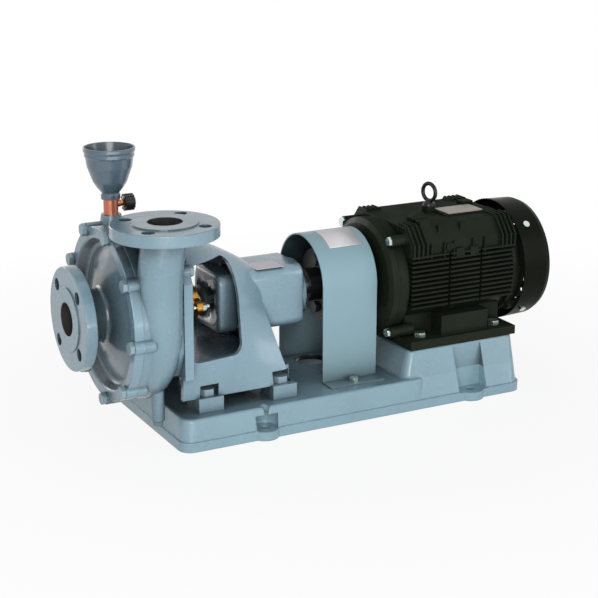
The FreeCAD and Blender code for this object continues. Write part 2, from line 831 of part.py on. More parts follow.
def make_volute():
    wall = float(n.casing_wall)
    face = casing_face()
    rim_end = face + n.casing_rim
    skin = Part.makeLoft(scroll_wires(wall, 0), True, False)
    back = float(at(n.casing_back))
    x_face = float(at(face))
    skin = skin.cut([
        Part.makeBox(30, 120, 200, Vector(back, -170, -90)),
        Part.makeBox(30, 340, 340, Vector(x_face - 30, -170, -170)),
    ])
    passage = Part.makeLoft(scroll_wires(0.0, float(n.flange_thick) + 1), True, False)
    x_rim = float(at(rim_end))
    body = tube(x_face, n.casing_rim, n.cover_radius, 0)
    body = body.fuse(tube(x_rim, 10, float(n.cover_radius) - 6, 0))
    body = body.fuse(casing_lugs(x_face, float(n.casing_rim) + 1.5, float(n.cover_lug)))
    body = body.fuse(tube(x_rim, back - 10 - x_rim, n.scroll_base + 14, 0))
    rear_half = float(n.bracket_half_width) - 2
    disc_radius = float(n.bracket_radius) - 12
    rear = tube(back - 14, 14, disc_radius, 0)
    rear = rear.common(Part.makeBox(40, 2 * rear_half, disc_radius + 78, Vector(back - 20, -rear_half, -78)))
    body = body.fuse([skin, rear])
    ears = []
    for y, z in bracket_bolt_spots(inner=False):
        ears.append(tube(back - 14, 14, n.bracket_lug, 0, centre=(y, z)))
    body = body.fuse(ears)
    end_x = float(at(n.discharge_station))
    end_y = -float(n.discharge_offset)
    rise = float(n.discharge_rise)
    thick = float(n.flange_thick)
    step = float(n.face_step)
    flange = Part.makeCylinder(float(n.flange_radius), thick - step, Vector(end_x, end_y, rise - thick))
    flange = flange.makeFillet(1.5, [e for e in flange.Edges if isinstance(e.Curve, Part.Circle)])
    face_disc = Part.makeCylinder(float(n.face_radius), step, Vector(end_x, end_y, rise - step))
    body = body.fuse([flange, face_disc])
    fx = float(at(n.funnel_station))
    fy = float(n.funnel_offset)
    boss_top = float(n.funnel_base)
    boss = Part.makeCone(19, 15, 34, Vector(fx, fy, boss_top - 34))
    boss = boss.cut(Part.makeBox(20, 60, 60, Vector(x_face - 20, fy - 30, boss_top - 50)))
    body = body.fuse(boss)
    drain = drain_spot()
    boss_height = float(n.drain_drop) - float(n.scroll_base)
    body = body.fuse(Part.makeCylinder(float(n.drain_radius), boss_height, drain))
    box_end = float(at(n.box_end))
    body = body.fuse(tube(back - 14, box_end - back + 14, n.box_radius, 0))
    # hollow inside
    body = body.cut(tube(x_face - 1, x_rim - x_face + 1, n.register_radius, 0))
    body = body.cut(tube(x_rim - 1, float(at(n.chamber_back)) - x_rim + 1, n.scroll_base + 6, 0))
    body = body.cut(passage)
    body = body.cut(tube(back - 40, 80, float(n.sleeve_radius) + 0.5, 0))
    throat = back + float(n.throat_wall)
    body = body.cut(tube(throat, box_end - throat + 1, n.gland_bore, 0))
    holes = casing_lugs(x_face - 1, float(n.casing_rim) + 1, hole_for(M10))
    half = float(n.bolt_circle) * math.sqrt(0.5)
    for sx in (-1, 1):
        for sy in (-1, 1):
            spot = Vector(end_x + sx * half, end_y + sy * half, rise - thick - 1)
            holes.append(Part.makeCylinder(float(n.bolt_hole), thick + 2, spot))
    for y, z in bracket_bolt_spots():
        holes.append(tube(back - 12, 13, hole_for(M10), 0, centre=(y, z)))
    for y in gland_stud_spots():
        holes.append(tube(box_end - 14, 15, hole_for(M8), 0, centre=(y, 0)))
    holes.append(Part.makeCylinder(7, 60, Vector(fx, fy, boss_top - 59)))
    holes.append(Part.makeCylinder(hole_for(M10), 14, Vector(drain.x, drain.y, drain.z - 1)))
    holes.append(Part.makeCylinder(float(n.nipple_radius) + 0.1, 10, Vector(fx, fy, boss_top - 9.5)))
    body = body.cut(holes)
    return keep(solid_feature("volute_casing", body, shaft_z))


def drain_spot():
    """Underside of the drain boss, below the near side of the spiral."""
    return Vector(float(at(n.drain_station)), -float(n.drain_offset), -float(n.drain_drop))


def bracket_bolt_spots(outer=True, inner=True):
    """Bolts between casing and bracket: two on corner lugs, three inside the lantern."""
    spots = []
    if outer:
        spots += polar_spots(float(n.bracket_bolt_outer), (38.0, 142.0))
    if inner:
        spots += polar_spots(float(n.bracket_bolt_inner), (-30.0, 90.0, 210.0))
    return spots


def polar_spots(radius, angles):
    spots = []
    for degrees in angles:
        a = math.radians(degrees)
        spots.append((-radius * math.cos(a), radius * math.sin(a)))
    return spots


def gland_stud_spots():
    reach = float(n.gland_stud_reach)
    return (-reach, reach)


def make_wear_ring():
    body = new_body("wear_ring", shaft_z)
    seat = n.ring_seat
    start = n.cover_station + 6.3
    revolve(body, [
        (at(start), 31.4),
        (at(start), seat - n.seat_gap),
        (at(n.cover_station + 18), seat - n.seat_gap),
        (at(n.cover_station + 18), 31.4),
    ])
    return keep(body)


# Impeller: two shrouds, hub and backward-curved vanes

KEY_DEPTH = 2.4


def make_impeller():
    r = float(n.impeller_radius)
    front = float(at(n.cover_station + 8))
    back = float(at(n.chamber_back - n.impeller_setback))
    plate = float(n.impeller_plate)
    bore = float(n.impeller_seat + n.seat_gap)
    hub = float(n.impeller_hub)
    hub_end = back + 3.0
    eye = float(n.impeller_eye)
    nose_length = float(n.impeller_nose)

    def turn(points):
        wire = Part.makePolygon([Vector(x, 0, z) for x, z in points + points[:1]])
        return Part.Face(wire).revolve(Vector(0, 0, 0), Vector(1, 0, 0), 360)

    mouth = back - plate - float(n.impeller_width)
    shroud = turn([
        (front, eye), (front, eye + 4), (front + 14, eye + 4), (front + 17, eye + 13), (mouth - 3, r),
        (mouth, r), (front + 20, eye + 11.5), (front + 15, eye),
    ])
    rear = turn([
        (back - plate, bore), (back - plate, r), (back, r), (back, hub), (hub_end, hub), (hub_end, bore),
    ])
    nose_start = back - plate - nose_length
    nose = turn([(nose_start, bore), (nose_start, hub - 5), (back - plate, hub), (back - plate, bore)])
    gap = turn([
        (front + 14.5, eye), (front + 20, eye + 12), (mouth - 1, r - 0.5), (back - plate + 1, r - 0.5),
        (back - plate + 1, hub - 2), (nose_start + 2, hub - 4),
    ])
    count = int(round(float(n.vane_count)))
    vanes = []
    steps = 8
    inner_tip = eye - 3
    sweep = 75.0
    for k in range(count):
        inner, outer = [], []
        for step in range(steps + 1):
            share = step / float(steps)
            radius = inner_tip + (r + 2 - inner_tip) * share
            a = math.radians(360.0 * k / count + sweep * share)
            thick = (2.2 + 1.2 * math.sin(math.pi * share)) / radius
            inner.append(Vector(front, radius * math.cos(a - thick / 2), radius * math.sin(a - thick / 2)))
            outer.append(Vector(front, radius * math.cos(a + thick / 2), radius * math.sin(a + thick / 2)))
        one, two = Part.BSplineCurve(), Part.BSplineCurve()
        one.interpolate(inner)
        two.interpolate(outer)
        ends = [Part.makeLine(inner[-1], outer[-1]), Part.makeLine(outer[0], inner[0])]
        edges = [one.toShape(), two.toShape()] + ends
        face = Part.Face(Part.Wire(Part.__sortEdges__(edges)))
        vanes.append(face.extrude(Vector(back - front, 0, 0)).common(gap))
    body = shroud.fuse([rear, nose] + vanes)
    slot = float(n.impeller_key + n.seat_gap * 2)
    body = body.cut(Part.makeBox(60, slot, 5, Vector(back - 30, -slot / 2, bore - KEY_DEPTH)))
    return keep(solid_feature("impeller", body, shaft_z))


def impeller_nose():
    """Station of the front end of the impeller hub."""
    return n.chamber_back - n.impeller_setback - n.impeller_plate - n.impeller_nose


def make_impeller_fixings():
    face = impeller_nose()
    seat = float(n.impeller_seat)
    width = float(n.impeller_key)
    start = float(at(face)) - 12.0
    nut = prism(Vector(start, 0, 0), Vector(1, 0, 0), 27.0, 12.0)
    nut = nut.cut(Part.makeCylinder(8.02, 12.0, Vector(start, 0, 0), Vector(1, 0, 0)))
    keep(solid_feature("impeller_nut", nut, shaft_z))
    key = Part.makeBox(18, width, 4.4, Vector(float(at(face)) + 2, -width / 2, seat - KEY_DEPTH))
    keep(solid_feature("impeller_key", key, shaft_z))


# Pump shaft and what it carries

def front_seat():
    """Station where the front bearing of the pump starts."""
    return n.barrel_start + n.front_seat_inset


def back_seat():
    """Station where the rear bearing of the pump ends."""
    return n.barrel_end - n.back_seat_inset


def make_pump_shaft():
    body = new_body("pump_shaft", shaft_z)
    nose = impeller_nose()
    sleeve_start = n.chamber_back - 1
    sleeve_end = n.box_end + n.sleeve_stand
    journal_front = front_seat()
    journal_back = back_seat()
    revolve(body, [
        (at(nose - 15), 0), (at(nose - 15), 7.0), (at(nose - 14), 8.0), (at(nose), 8.0),
        (at(nose), n.impeller_seat), (at(sleeve_start), n.impeller_seat),
        (at(sleeve_start), n.sleeve_seat), (at(sleeve_end), n.sleeve_seat),
        (at(sleeve_end), n.sleeve_seat + 1), (at(journal_front), n.sleeve_seat + 1),
        (at(journal_front), n.journal), (at(journal_front + n.bearing_width), n.journal),
        (at(journal_front + n.bearing_width), n.journal + 3),
        (at(journal_back - n.bearing_width), n.journal + 3),
        (at(journal_back - n.bearing_width), n.journal), (at(journal_back), n.journal),
        (at(journal_back), n.coupling_seat), (at(n.shaft_end - 1), n.coupling_seat),
        (at(n.shaft_end), n.coupling_seat - 1), (at(n.shaft_end), 0),
    ])
    sketch = new_sketch(body, "XY_Plane", n.impeller_seat - KEY_DEPTH)
    rectangle(sketch, at(nose + 2), at(nose + 20), -n.impeller_key / 2, n.impeller_key / 2)
    extrude(body, sketch, 6, "Pocket", back=True)
    sketch = new_sketch(body, "XY_Plane", n.coupling_seat - 4)
    rectangle(sketch, at(n.shaft_end - 32), at(n.shaft_end - 4), -n.coupling_key / 2, n.coupling_key / 2)
    extrude(body, sketch, 8, "Pocket", back=True)
    return keep(body)


def simple_ring(label, start, end, outer, inner):
    body = new_body(label, shaft_z)
    revolve(body, [(at(start), inner), (at(start), outer), (at(end), outer), (at(end), inner)])
    return keep(body)


def make_sleeve():
    simple_ring("shaft_sleeve", n.chamber_back - 1, n.box_end + n.sleeve_stand, n.sleeve_radius,
                n.sleeve_seat + n.seat_gap)


def make_packing():
    rings = []
    start = float(at(n.casing_back + n.throat_wall))
    size = float(n.packing_size)
    gap = float(n.fit_gap)
    inner = float(n.sleeve_radius) + gap / 4
    outer = float(n.gland_bore) - gap / 4
    for k in range(3):
        rings.append(tube(start + gap + k * (size + gap), size, outer, inner))
    keep(solid_feature("packing_rings", Part.makeCompound(rings), shaft_z))
    body = new_body("packing_gland", shaft_z)
    nose_start = n.casing_back + n.throat_wall + n.packing_size * 3 + 1
    flange_start = n.box_end + n.gland_stand
    inner_radius = n.sleeve_radius + 1
    revolve(body, [
        (at(nose_start), inner_radius), (at(nose_start), n.gland_bore - 0.1),
        (at(flange_start), n.gland_bore - 0.1), (at(flange_start), n.gland_bore + 2),
        (at(flange_start + n.gland_thick), n.gland_bore + 2),
        (at(flange_start + n.gland_thick), inner_radius),
    ])
    reach = abs(gland_stud_spots()[0])
    sketch = new_sketch(body, "YZ_Plane", at(flange_start))
    ear = 9.0
    slim = 16.0
    outline(sketch, [
        (-reach, -ear), (0.0, -slim - 6), (reach, -ear, (reach + ear, 0.0)),
        (reach, ear), (0.0, slim + 6), (-reach, ear, (-reach - ear, 0.0)),
    ])
    extrude(body, sketch, n.gland_thick)
    sketch = new_sketch(body, "YZ_Plane", at(flange_start - 1))
    disc(sketch, 0, 0, inner_radius)
    for y in gland_stud_spots():
        disc(sketch, y, 0, hole_for(M8, n.loose_gap))
    extrude(body, sketch, 12, "Pocket", back=True)
    keep(body)
    studs = []
    stud_start = float(at(n.box_end)) - 13
    grip = float(n.gland_stand + n.gland_thick)
    for y in gland_stud_spots():
        base = Vector(stud_start, y, 0)
        stud = Part.makeCylinder(M8["shank"], 13 + grip + 12, base, Vector(1, 0, 0))
        nut = prism(Vector(stud_start + 13 + grip, y, 0), Vector(1, 0, 0), M8["flats"], 6.5)
        studs.append(stud.fuse(nut).removeSplitter())
    keep(solid_feature("gland_studs", Part.makeCompound(studs), shaft_z))


def make_deflector():
    body = new_body("water_deflector", shaft_z)
    start = n.box_end + 24
    inner = n.sleeve_seat + 1 + n.seat_gap
    revolve(body, [
        (at(start), inner), (at(start), 20.0), (at(start + 3), 24.0), (at(start + 5), 24.0),
        (at(start + 5), 20.0), (at(start + 12), 18.5), (at(start + 12), inner),
    ])
    keep(body)


def bearing_set(prefix, places, width, bore, outer, ball):
    """Rings and balls of two deep-groove bearings, one group for each kind."""
    outers, inners, balls = [], [], []
    bore, outer, ball, width = float(bore), float(outer), float(ball), float(width)
    pitch = (bore + outer) / 2
    count = 9
    for place_x in places:
        x = float(place_x)
        middle = Vector(x + width / 2, 0, 0)
        groove = Part.makeTorus(pitch, ball + 0.05, middle, Vector(1, 0, 0))
        outers.append(tube(x, width, outer, pitch + ball * 0.45).cut(groove))
        inners.append(tube(x, width, pitch - ball * 0.45, bore).cut(groove))
        for k in range(count):
            a = 2 * math.pi * k / count
            balls.append(Part.makeSphere(ball, middle + Vector(0, pitch * math.cos(a), pitch * math.sin(a))))
    keep(solid_feature(prefix + "_bearing_outer_rings", Part.makeCompound(outers), shaft_z))
    keep(solid_feature(prefix + "_bearing_inner_rings", Part.makeCompound(inners), shaft_z))
    keep(solid_feature(prefix + "_bearing_balls", Part.makeCompound(balls), shaft_z))


# Bearing bracket: flange, open lantern, feet and bearing barrel in one casting

def make_bracket():
    body = new_body("bearing_bracket", shaft_z)
    flange_start = n.casing_back
    flange_end = flange_start + n.bracket_flange
    wide = n.bracket_half_width
    low = 80.0
    crown = n.bracket_radius
    shoulder = Size(math.sqrt(float(crown) ** 2 - float(wide) ** 2),
                    "sqrt(Sizes.bracket_radius^2 - Sizes.bracket_half_width^2)")
    sketch = new_sketch(body, "YZ_Plane", at(flange_start))
    outline(sketch, [
        (-wide, -low), (wide, -low), (wide, shoulder, (0.0, crown)), (-wide, shoulder),
    ])
    extrude(body, sketch, n.bracket_flange)
    sketch = new_sketch(body, "YZ_Plane", at(flange_start))
    for y, z in bracket_bolt_spots(inner=False):
        disc(sketch, y, z, n.bracket_lug)
    extrude(body, sketch, n.bracket_flange)

    back = 292.0
    big = n.lantern_radius
    waist = 85.0
    end = 50.0

    def lantern(inset, start, kind, tail):
        half = big - inset
        sketch = new_sketch(body, "XY_Plane")
        outline(sketch, [
            (at(start), 0.0), (at(start), half, (at(232), waist - inset)),
            (at(back - tail), end - inset * 0.5), (at(back - tail), 0.0),
        ])
        dome = feature(body, "Revolution" if kind == "Additive" else "Groove", sketch)
        dome.ReferenceAxis = (sketch, ["H_Axis"])
        dome.Angle = 180
        floor_z = -(n.pump_height - n.foot_thick)
        top = new_sketch(body, "XY_Plane", 0)
        outline(top, [
            (at(start), -half, (at(232), -(waist - inset))),
            (at(back - tail), -(end - inset * 0.5)),
            (at(back - tail), end - inset * 0.5, (at(232), waist - inset)),
            (at(start), half),
        ])
        bottom = new_sketch(body, "XY_Plane", floor_z)
        foot_half = n.foot_half + 11 - inset
        foot_back = n.foot_front + n.foot_pitch + n.foot_pad * 0.4
        outline(bottom, [
            (at(start + 4), -foot_half, (at(232), -foot_half - 1)),
            (at(foot_back - tail), -foot_half), (at(foot_back - tail), foot_half, (at(232), foot_half + 1)),
            (at(start + 4), foot_half),
        ])
        skirt = loft(body, [top, bottom], kind + "Loft")
        return dome, skirt

    lantern(0.0, flange_start + 2, "Additive", 0.0)
    lantern(float(n.lantern_wall), flange_end - 20, "Subtractive", 12.0)

    # side windows, right through both walls
    sketch = new_sketch(body, "XZ_Plane")
    window_start = at(flange_end + 2)
    window_end = at(n.window_end)
    rounded_rectangle(sketch, window_start, window_end, -n.window_low, n.window_top, n.window_corner)
    cut_through(body, sketch)
    # drip floor between the walls
    sketch = new_sketch(body, "XY_Plane", -74.0)
    outline(sketch, [
        (at(flange_end - 2), -100.0), (at(272), -84.0), (at(272), 84.0), (at(flange_end - 2), 100.0),
    ])
    extrude(body, sketch, 7)
    # bearing barrel
    barrel = n.barrel_radius
    collar = n.barrel_end - 29
    revolve(body, [
        (at(n.barrel_start), 20.0), (at(n.barrel_start), barrel), (at(collar), barrel),
        (at(collar), barrel + 2.5), (at(n.barrel_end), barrel + 2.5), (at(n.barrel_end), 20.0),
    ])
    # feet
    for station in (n.foot_front, n.foot_front + n.foot_pitch):
        sketch = new_sketch(body, "XY_Plane", -n.pump_height)
        for side in (-1, 1):
            edges = [side * (n.foot_half + n.foot_pad / 2), side * (n.foot_half - n.foot_pad / 2 - 4)]
            edges.sort(key=float)
            rectangle(sketch, at(station - n.foot_pad / 2), at(station + n.foot_pad / 2), edges[0], edges[1])
        extrude(body, sketch, n.foot_thick + 2)
        sketch = new_sketch(body, "XY_Plane", -n.pump_height + n.foot_thick)
        for side in (-1, 1):
            edges = [side * (n.foot_half - n.foot_pad / 2 - 6), side * n.foot_half]
            edges.sort(key=float)
            rectangle(sketch, at(station - 21), at(station + 16), edges[0], edges[1])
        extrude(body, sketch, 26)
    # bores and holes
    outer = n.bearing_outer + n.seat_gap
    seat_front = front_seat()
    seat_back = back_seat()
    revolve(body, [
        (at(n.barrel_start - 12), 0.0), (at(n.barrel_start - 12), outer),
        (at(seat_front + n.bearing_width), outer), (at(seat_front + n.bearing_width), 30.0),
        (at(seat_back - n.bearing_width), 30.0), (at(seat_back - n.bearing_width), outer),
        (at(n.barrel_end + 1), outer), (at(n.barrel_end + 1), 0.0),
    ], "Groove")
    sketch = new_sketch(body, "YZ_Plane", at(flange_start))
    disc(sketch, 0, 0, n.bracket_bolt_inner - 11)
    extrude(body, sketch, n.bracket_flange + 6, "Pocket", back=True)
    sketch = new_sketch(body, "YZ_Plane", at(flange_start))
    for y, z in bracket_bolt_spots():
        disc(sketch, y, z, hole_for(M10))
    extrude(body, sketch, n.bracket_flange, "Pocket", back=True)
    sketch = new_sketch(body, "YZ_Plane", at(n.barrel_end - 15))
    for y, z in cap_bolt_spots(1.0):
        disc(sketch, (barrel - 4) * y, (barrel - 4) * z, hole_for(CAP_SCREW, n.tapped_gap))
    extrude(body, sketch, 16, "Pocket", back=True)
    # pockets that let the foot bolts stand inside the line of the walls
    shelf = -n.pump_height + n.foot_thick + 2
    clear = M16["flats"] * 0.5 + 3
    for station in (n.foot_front, n.foot_front + n.foot_pitch):
        x = at(station)
        sketch = new_sketch(body, "XY_Plane", shelf)
        for side in (-1, 1):
            y = side * n.foot_half
            outer = side * (n.foot_half + n.foot_pad)
            outline(sketch, [
                (x - clear, outer), (x + clear, outer), (x + clear, y, (x, y - side * clear)), (x - clear, y),
            ])
        extrude(body, sketch, 18, "Pocket", back=True)
    sketch = new_sketch(body, "XY_Plane", -n.pump_height)
    for station in (n.foot_front, n.foot_front + n.foot_pitch):
        for side in (-1, 1):
            disc(sketch, at(station), side * n.foot_half, hole_for(M16, n.loose_gap))
    extrude(body, sketch, n.foot_thick + 3, "Pocket", back=True)
    return keep(body)


def cap_bolt_spots(radius):
    return ring_spots(radius, 4, 45.0)


def make_bearing_covers():
    front = n.barrel_start
    barrel = n.barrel_radius
    shaft_gap = n.sleeve_seat + 1 + 0.5
    spigot = n.bearing_outer - 0.05
    body = new_body("front_bearing_cover", shaft_z)
    revolve(body, [
        (at(front - 11), shaft_gap), (at(front - 11), 24.0), (at(front - 7), barrel - 7),
        (at(front), barrel - 2), (at(front), spigot), (at(front + 1.9), spigot),
        (at(front + 1.9), 30.0), (at(front - 4), 30.0), (at(front - 4), shaft_gap),
    ])
    keep(body)
    back = n.barrel_end
    body = new_body("rear_bearing_cover", shaft_z)
    coupling_gap = n.coupling_seat + 0.5
    revolve(body, [
        (at(back + 8), coupling_gap), (at(back + 8), 24.0), (at(back + 5), 34.0), (at(back + 5), barrel + 1),
        (at(back), barrel + 1), (at(back), spigot), (at(back - 3.9), spigot),
        (at(back - 3.9), 30.0), (at(back + 3), 30.0), (at(back + 3), coupling_gap),
    ])
    sketch = new_sketch(body, "YZ_Plane", at(back - 6))
    spots = cap_bolt_spots(1.0)
    for y, z in spots:
        disc(sketch, (barrel - 4) * y, (barrel - 4) * z, hole_for(CAP_SCREW, n.tapped_gap))
    extrude(body, sketch, 20, "Pocket", back=True)
    keep(body)


# Coupling halves, pins and bushes

def make_coupling():
    pins = 4
    for label, start, direction in (
            ("pump_coupling_half", n.shaft_end - n.coupling_length, 1),
            ("motor_coupling_half", n.shaft_end + n.coupling_gap, -1)):
        body = new_body(label, shaft_z)
        end = start + n.coupling_length
        bore = n.coupling_seat + n.seat_gap
        if direction > 0:
            profile = [
                (at(start), bore), (at(start), n.coupling_hub), (at(end - n.coupling_flange), n.coupling_hub),
                (at(end - n.coupling_flange), n.coupling_radius), (at(end), n.coupling_radius),
                (at(end), bore),
            ]
        else:
            profile = [
                (at(start), bore), (at(start), n.coupling_radius),
                (at(start + n.coupling_flange), n.coupling_radius),
                (at(start + n.coupling_flange), n.coupling_hub), (at(end), n.coupling_hub), (at(end), bore),
            ]
        revolve(body, profile)
        sketch = new_sketch(body, "YZ_Plane", at(start - 1))
        hole = (M10["shank"] if direction > 0 else n.bush_radius) + n.pin_gap
        disc(sketch, 0, n.coupling_pin_circle, hole)
        cut = extrude(body, sketch, n.coupling_length + 2, "Pocket", back=True)
        around(body, [cut], pins)
        sketch = new_sketch(body, "XY_Plane", 0)
        key_half = n.coupling_key / 2 + n.seat_gap
        rectangle(sketch, at(start - 1), at(end + 1), -key_half, key_half)
        extrude(body, sketch, n.coupling_seat + 3.3, "Pocket", back=True)
        keep(body)
    flange_face = float(at(n.shaft_end))
    thick = float(n.coupling_flange)
    gap = float(n.coupling_gap)
    circle = float(n.coupling_pin_circle)
    pin_shapes, bush_shapes = [], []
    for k in range(pins):
        a = 2 * math.pi * k / pins
        y, z = circle * math.sin(a), circle * math.cos(a)
        head_x = flange_face - thick
        pin = bolt(Vector(head_x, y, z), Vector(-1, 0, 0), M10["shank"], 2 * thick + gap, 16.0, 6.0)
        nut_disc = tube(flange_face + gap + thick, 2.5, 8.0, 0, centre=(y, z))
        pin_shapes.append(pin.fuse(nut_disc).removeSplitter())
        start = flange_face + gap + 0.2
        bush_bore = n.seat_gap + M10["shank"]
        bush_shapes.append(tube(start, thick - 0.4, n.bush_radius, bush_bore, centre=(y, z)))
    keep(solid_feature("coupling_pins", Part.makeCompound(pin_shapes), shaft_z))
    keep(solid_feature("coupling_bushes", Part.makeCompound(bush_shapes), shaft_z))
    seat = float(n.coupling_seat)
    key = float(n.coupling_key)
    pump_key = Part.makeBox(28, key, 7, Vector(float(at(n.shaft_end)) - 32, -key / 2, seat - 4))
    keep(solid_feature("pump_coupling_key", pump_key, shaft_z))
    motor_start = float(at(n.shaft_end + n.coupling_gap)) + 5
    motor_key = Part.makeBox(32, key, 7, Vector(motor_start, -key / 2, seat - 4))
    keep(solid_feature("motor_coupling_key", motor_key, shaft_z))


def make_guard():
    body = new_body("coupling_guard", shaft_z)
    half = n.guard_half
    thin = n.guard_sheet
    rise = n.guard_rise
    floor_z = -n.pump_height
    foot = half + n.guard_foot
    inner = half - thin
    sketch = new_sketch(body, "YZ_Plane", at(n.guard_start))
    outline(sketch, [
        (-foot, floor_z), (-inner, floor_z), (-inner, rise, (0.0, rise + inner)), (inner, rise),
        (inner, floor_z), (foot, floor_z), (foot, floor_z + thin), (half, floor_z + thin),
        (half, rise, (0.0, rise + half)), (-half, rise), (-half, floor_z + thin), (-foot, floor_z + thin),
    ])
    extrude(body, sketch, n.guard_length)
    sketch = new_sketch(body, "XY_Plane", floor_z)
    for side in (-1, 1):
        disc(sketch, at(n.guard_start + n.guard_length / 2), side * guard_bolt_y(), hole_for(M8, n.loose_gap))
    extrude(body, sketch, thin + 1, "Pocket", back=True)
    keep(body)


# Motor: finned frame, shields, core, rotor, fan and cowl

def frame_start():
    return n.motor_foot_front - n.frame_overhang


def frame_end():
    return frame_start() + n.frame_length


FIN_PITCH = 7.4
FIN_THICK = 3.0
FIN_LOWEST = -33.0
SIDE_FINS = 12
CORNER_FINS = 4


def eye_x():
    return at(frame_start() + 92)


def two_sides(sketch, x0, x1, inner, outer):
    """Two rectangles in plan, mirrored about the shaft line."""
    rectangle(sketch, x0, x1, -outer, -inner)
    rectangle(sketch, x0, x1, inner, outer)


def make_motor_frame():
    body = new_body("motor_frame", shaft_z)
    x0, x1 = at(frame_start()), at(frame_end())
    r = n.frame_radius
    half = n.frame_half
    top = n.frame_top
    bore = n.frame_bore + n.seat_gap
    gap = 4.0
    revolve(body, [(x0, bore), (x0, r), (x1, r), (x1, bore)])
    # smooth shoulders above the fins and the flat top
    block_top = n.frame_top * 0.62
    sketch = new_sketch(body, "YZ_Plane", x0 + 2)
    outline(sketch, [
        (-half + 6, 46.0), (half - 6, 46.0), (half - 6, block_top + 6), (half - 26, top - 4),
        (-half + 26, top - 4), (-half + 6, block_top + 6),
    ])
    extrude(body, sketch, n.frame_length - 4)
    # pads and the eye bolt boss on the top
    sketch = new_sketch(body, "XY_Plane", n.frame_top - 14)
    rectangle(sketch, x0 + 28, x0 + 48, -76.0, -58.0)
    rectangle(sketch, x0 + 164, x0 + 184, 10.0, 28.0)
    extrude(body, sketch, 18)
    sketch = new_sketch(body, "XY_Plane", n.frame_top - 20)
    disc(sketch, eye_x(), 0, 11.0)
    extrude(body, sketch, 28)
    sketch = new_sketch(body, "XY_Plane", n.frame_top - 8)
    rectangle(sketch, x0 + 100, x0 + 176, -40.0, 8.0)
    extrude(body, sketch, 7)
    # lugs for the end shield bolts
    sketch = new_sketch(body, "YZ_Plane", x0)
    for y, z in shield_bolt_spots():
        disc(sketch, y, z, n.shield_lug)
    extrude(body, sketch, 18)
    # feet with their upright panels
    foot = n.motor_foot_half
    sketch = new_sketch(body, "XY_Plane", -n.motor_height)
    two_sides(sketch, x0, x0 + n.frame_length - 2, foot - 26, foot + 23)
    extrude(body, sketch, n.motor_foot_thick)
    sketch = new_sketch(body, "XY_Plane", -n.motor_height)
    two_sides(sketch, x0 + 62, x0 + 150, foot - 34, foot + 13)
    extrude(body, sketch, n.motor_height * 0.46)
    sketch = new_sketch(body, "XY_Plane", -n.motor_height)
    two_sides(sketch, x0 + 10, x0 + 61, foot - 34, foot - 16)
    two_sides(sketch, x0 + 151, x0 + n.frame_length - 10, foot - 34, foot - 16)
    extrude(body, sketch, n.motor_height * 0.46)
    # seat of the terminal box on the far side
    sketch = new_sketch(body, "XZ_Plane", -half - 2)
    rectangle(sketch, x0 + 52, x0 + 124, -16.0, 58.0)
    extrude(body, sketch, 26)
    # bores and holes
    sketch = new_sketch(body, "XY_Plane", -n.motor_height)
    for station in (n.motor_foot_front, n.motor_foot_front + n.motor_foot_pitch):
        for side in (-1, 1):
            disc(sketch, at(station), side * foot, 6.0)
    extrude(body, sketch, n.motor_foot_thick + 2, "Pocket", back=True)
    sketch = new_sketch(body, "XY_Plane", n.frame_top - 8)
    disc(sketch, eye_x(), 0, hole_for(M8, n.tapped_gap))
    extrude(body, sketch, 20, "Pocket", back=True)
    revolve(body, [(x0 - 1, 0.0), (x0 - 1, bore), (x1 + 1, bore), (x1 + 1, 0.0)], "Groove")
    # short ribs over the shoulders at both ends
    span = 8.0 * (CORNER_FINS - 1)
    for start in (x0 + 4, x1 - 7 - span):
        sketch = new_sketch(body, "YZ_Plane", start)
        for side in (-1, 1):
            outline(sketch, [
                (side * (half - 12), 40.0), (side * half, 46.0), (side * half, block_top + 8),
                (side * (half - 24), top), (side * (half - 50), top), (side * (half - 50), 70.0),
            ])
        rib = extrude(body, sketch, FIN_THICK)
        in_line(body, [rib], "X_Axis", CORNER_FINS, span)
    # side fins along the shaft, in three lengths with open gaps between
    stops = (0.0, 0.365, 0.665, 1.0)
    reach = n.frame_length - 4
    sketch = new_sketch(body, "XY_Plane", FIN_LOWEST - FIN_THICK / 2)
    for k in range(3):
        start = x0 + 2 + reach * stops[k]
        end = x0 + 2 + reach * stops[k + 1] - gap
        two_sides(sketch, start, end, n.frame_bore + 0.5, half)
    fins = extrude(body, sketch, FIN_THICK)
    in_line(body, [fins], "Z_Axis", SIDE_FINS, (SIDE_FINS - 1) * FIN_PITCH)
    sketch = new_sketch(body, "YZ_Plane", x0)
    for y, z in shield_bolt_spots():
        disc(sketch, y, z, hole_for(M8, n.tapped_gap))
    extrude(body, sketch, 14, "Pocket", back=True)
    sketch = new_sketch(body, "YZ_Plane", x1 - 14)
    for y, z in fan_shield_spots():
        disc(sketch, y, z, hole_for(M6, n.tapped_gap))
    extrude(body, sketch, 15, "Pocket", back=True)
    for item in body.Group:
        if hasattr(item, "Refine"):
            item.Refine = False
    return keep(body)


def shield_bolt_spots():
    return ring_spots(float(n.shield_bolt_radius), 4, 45.0)


def fan_shield_spots():
    return ring_spots(fan_shield_radius(), 4, 0.0)


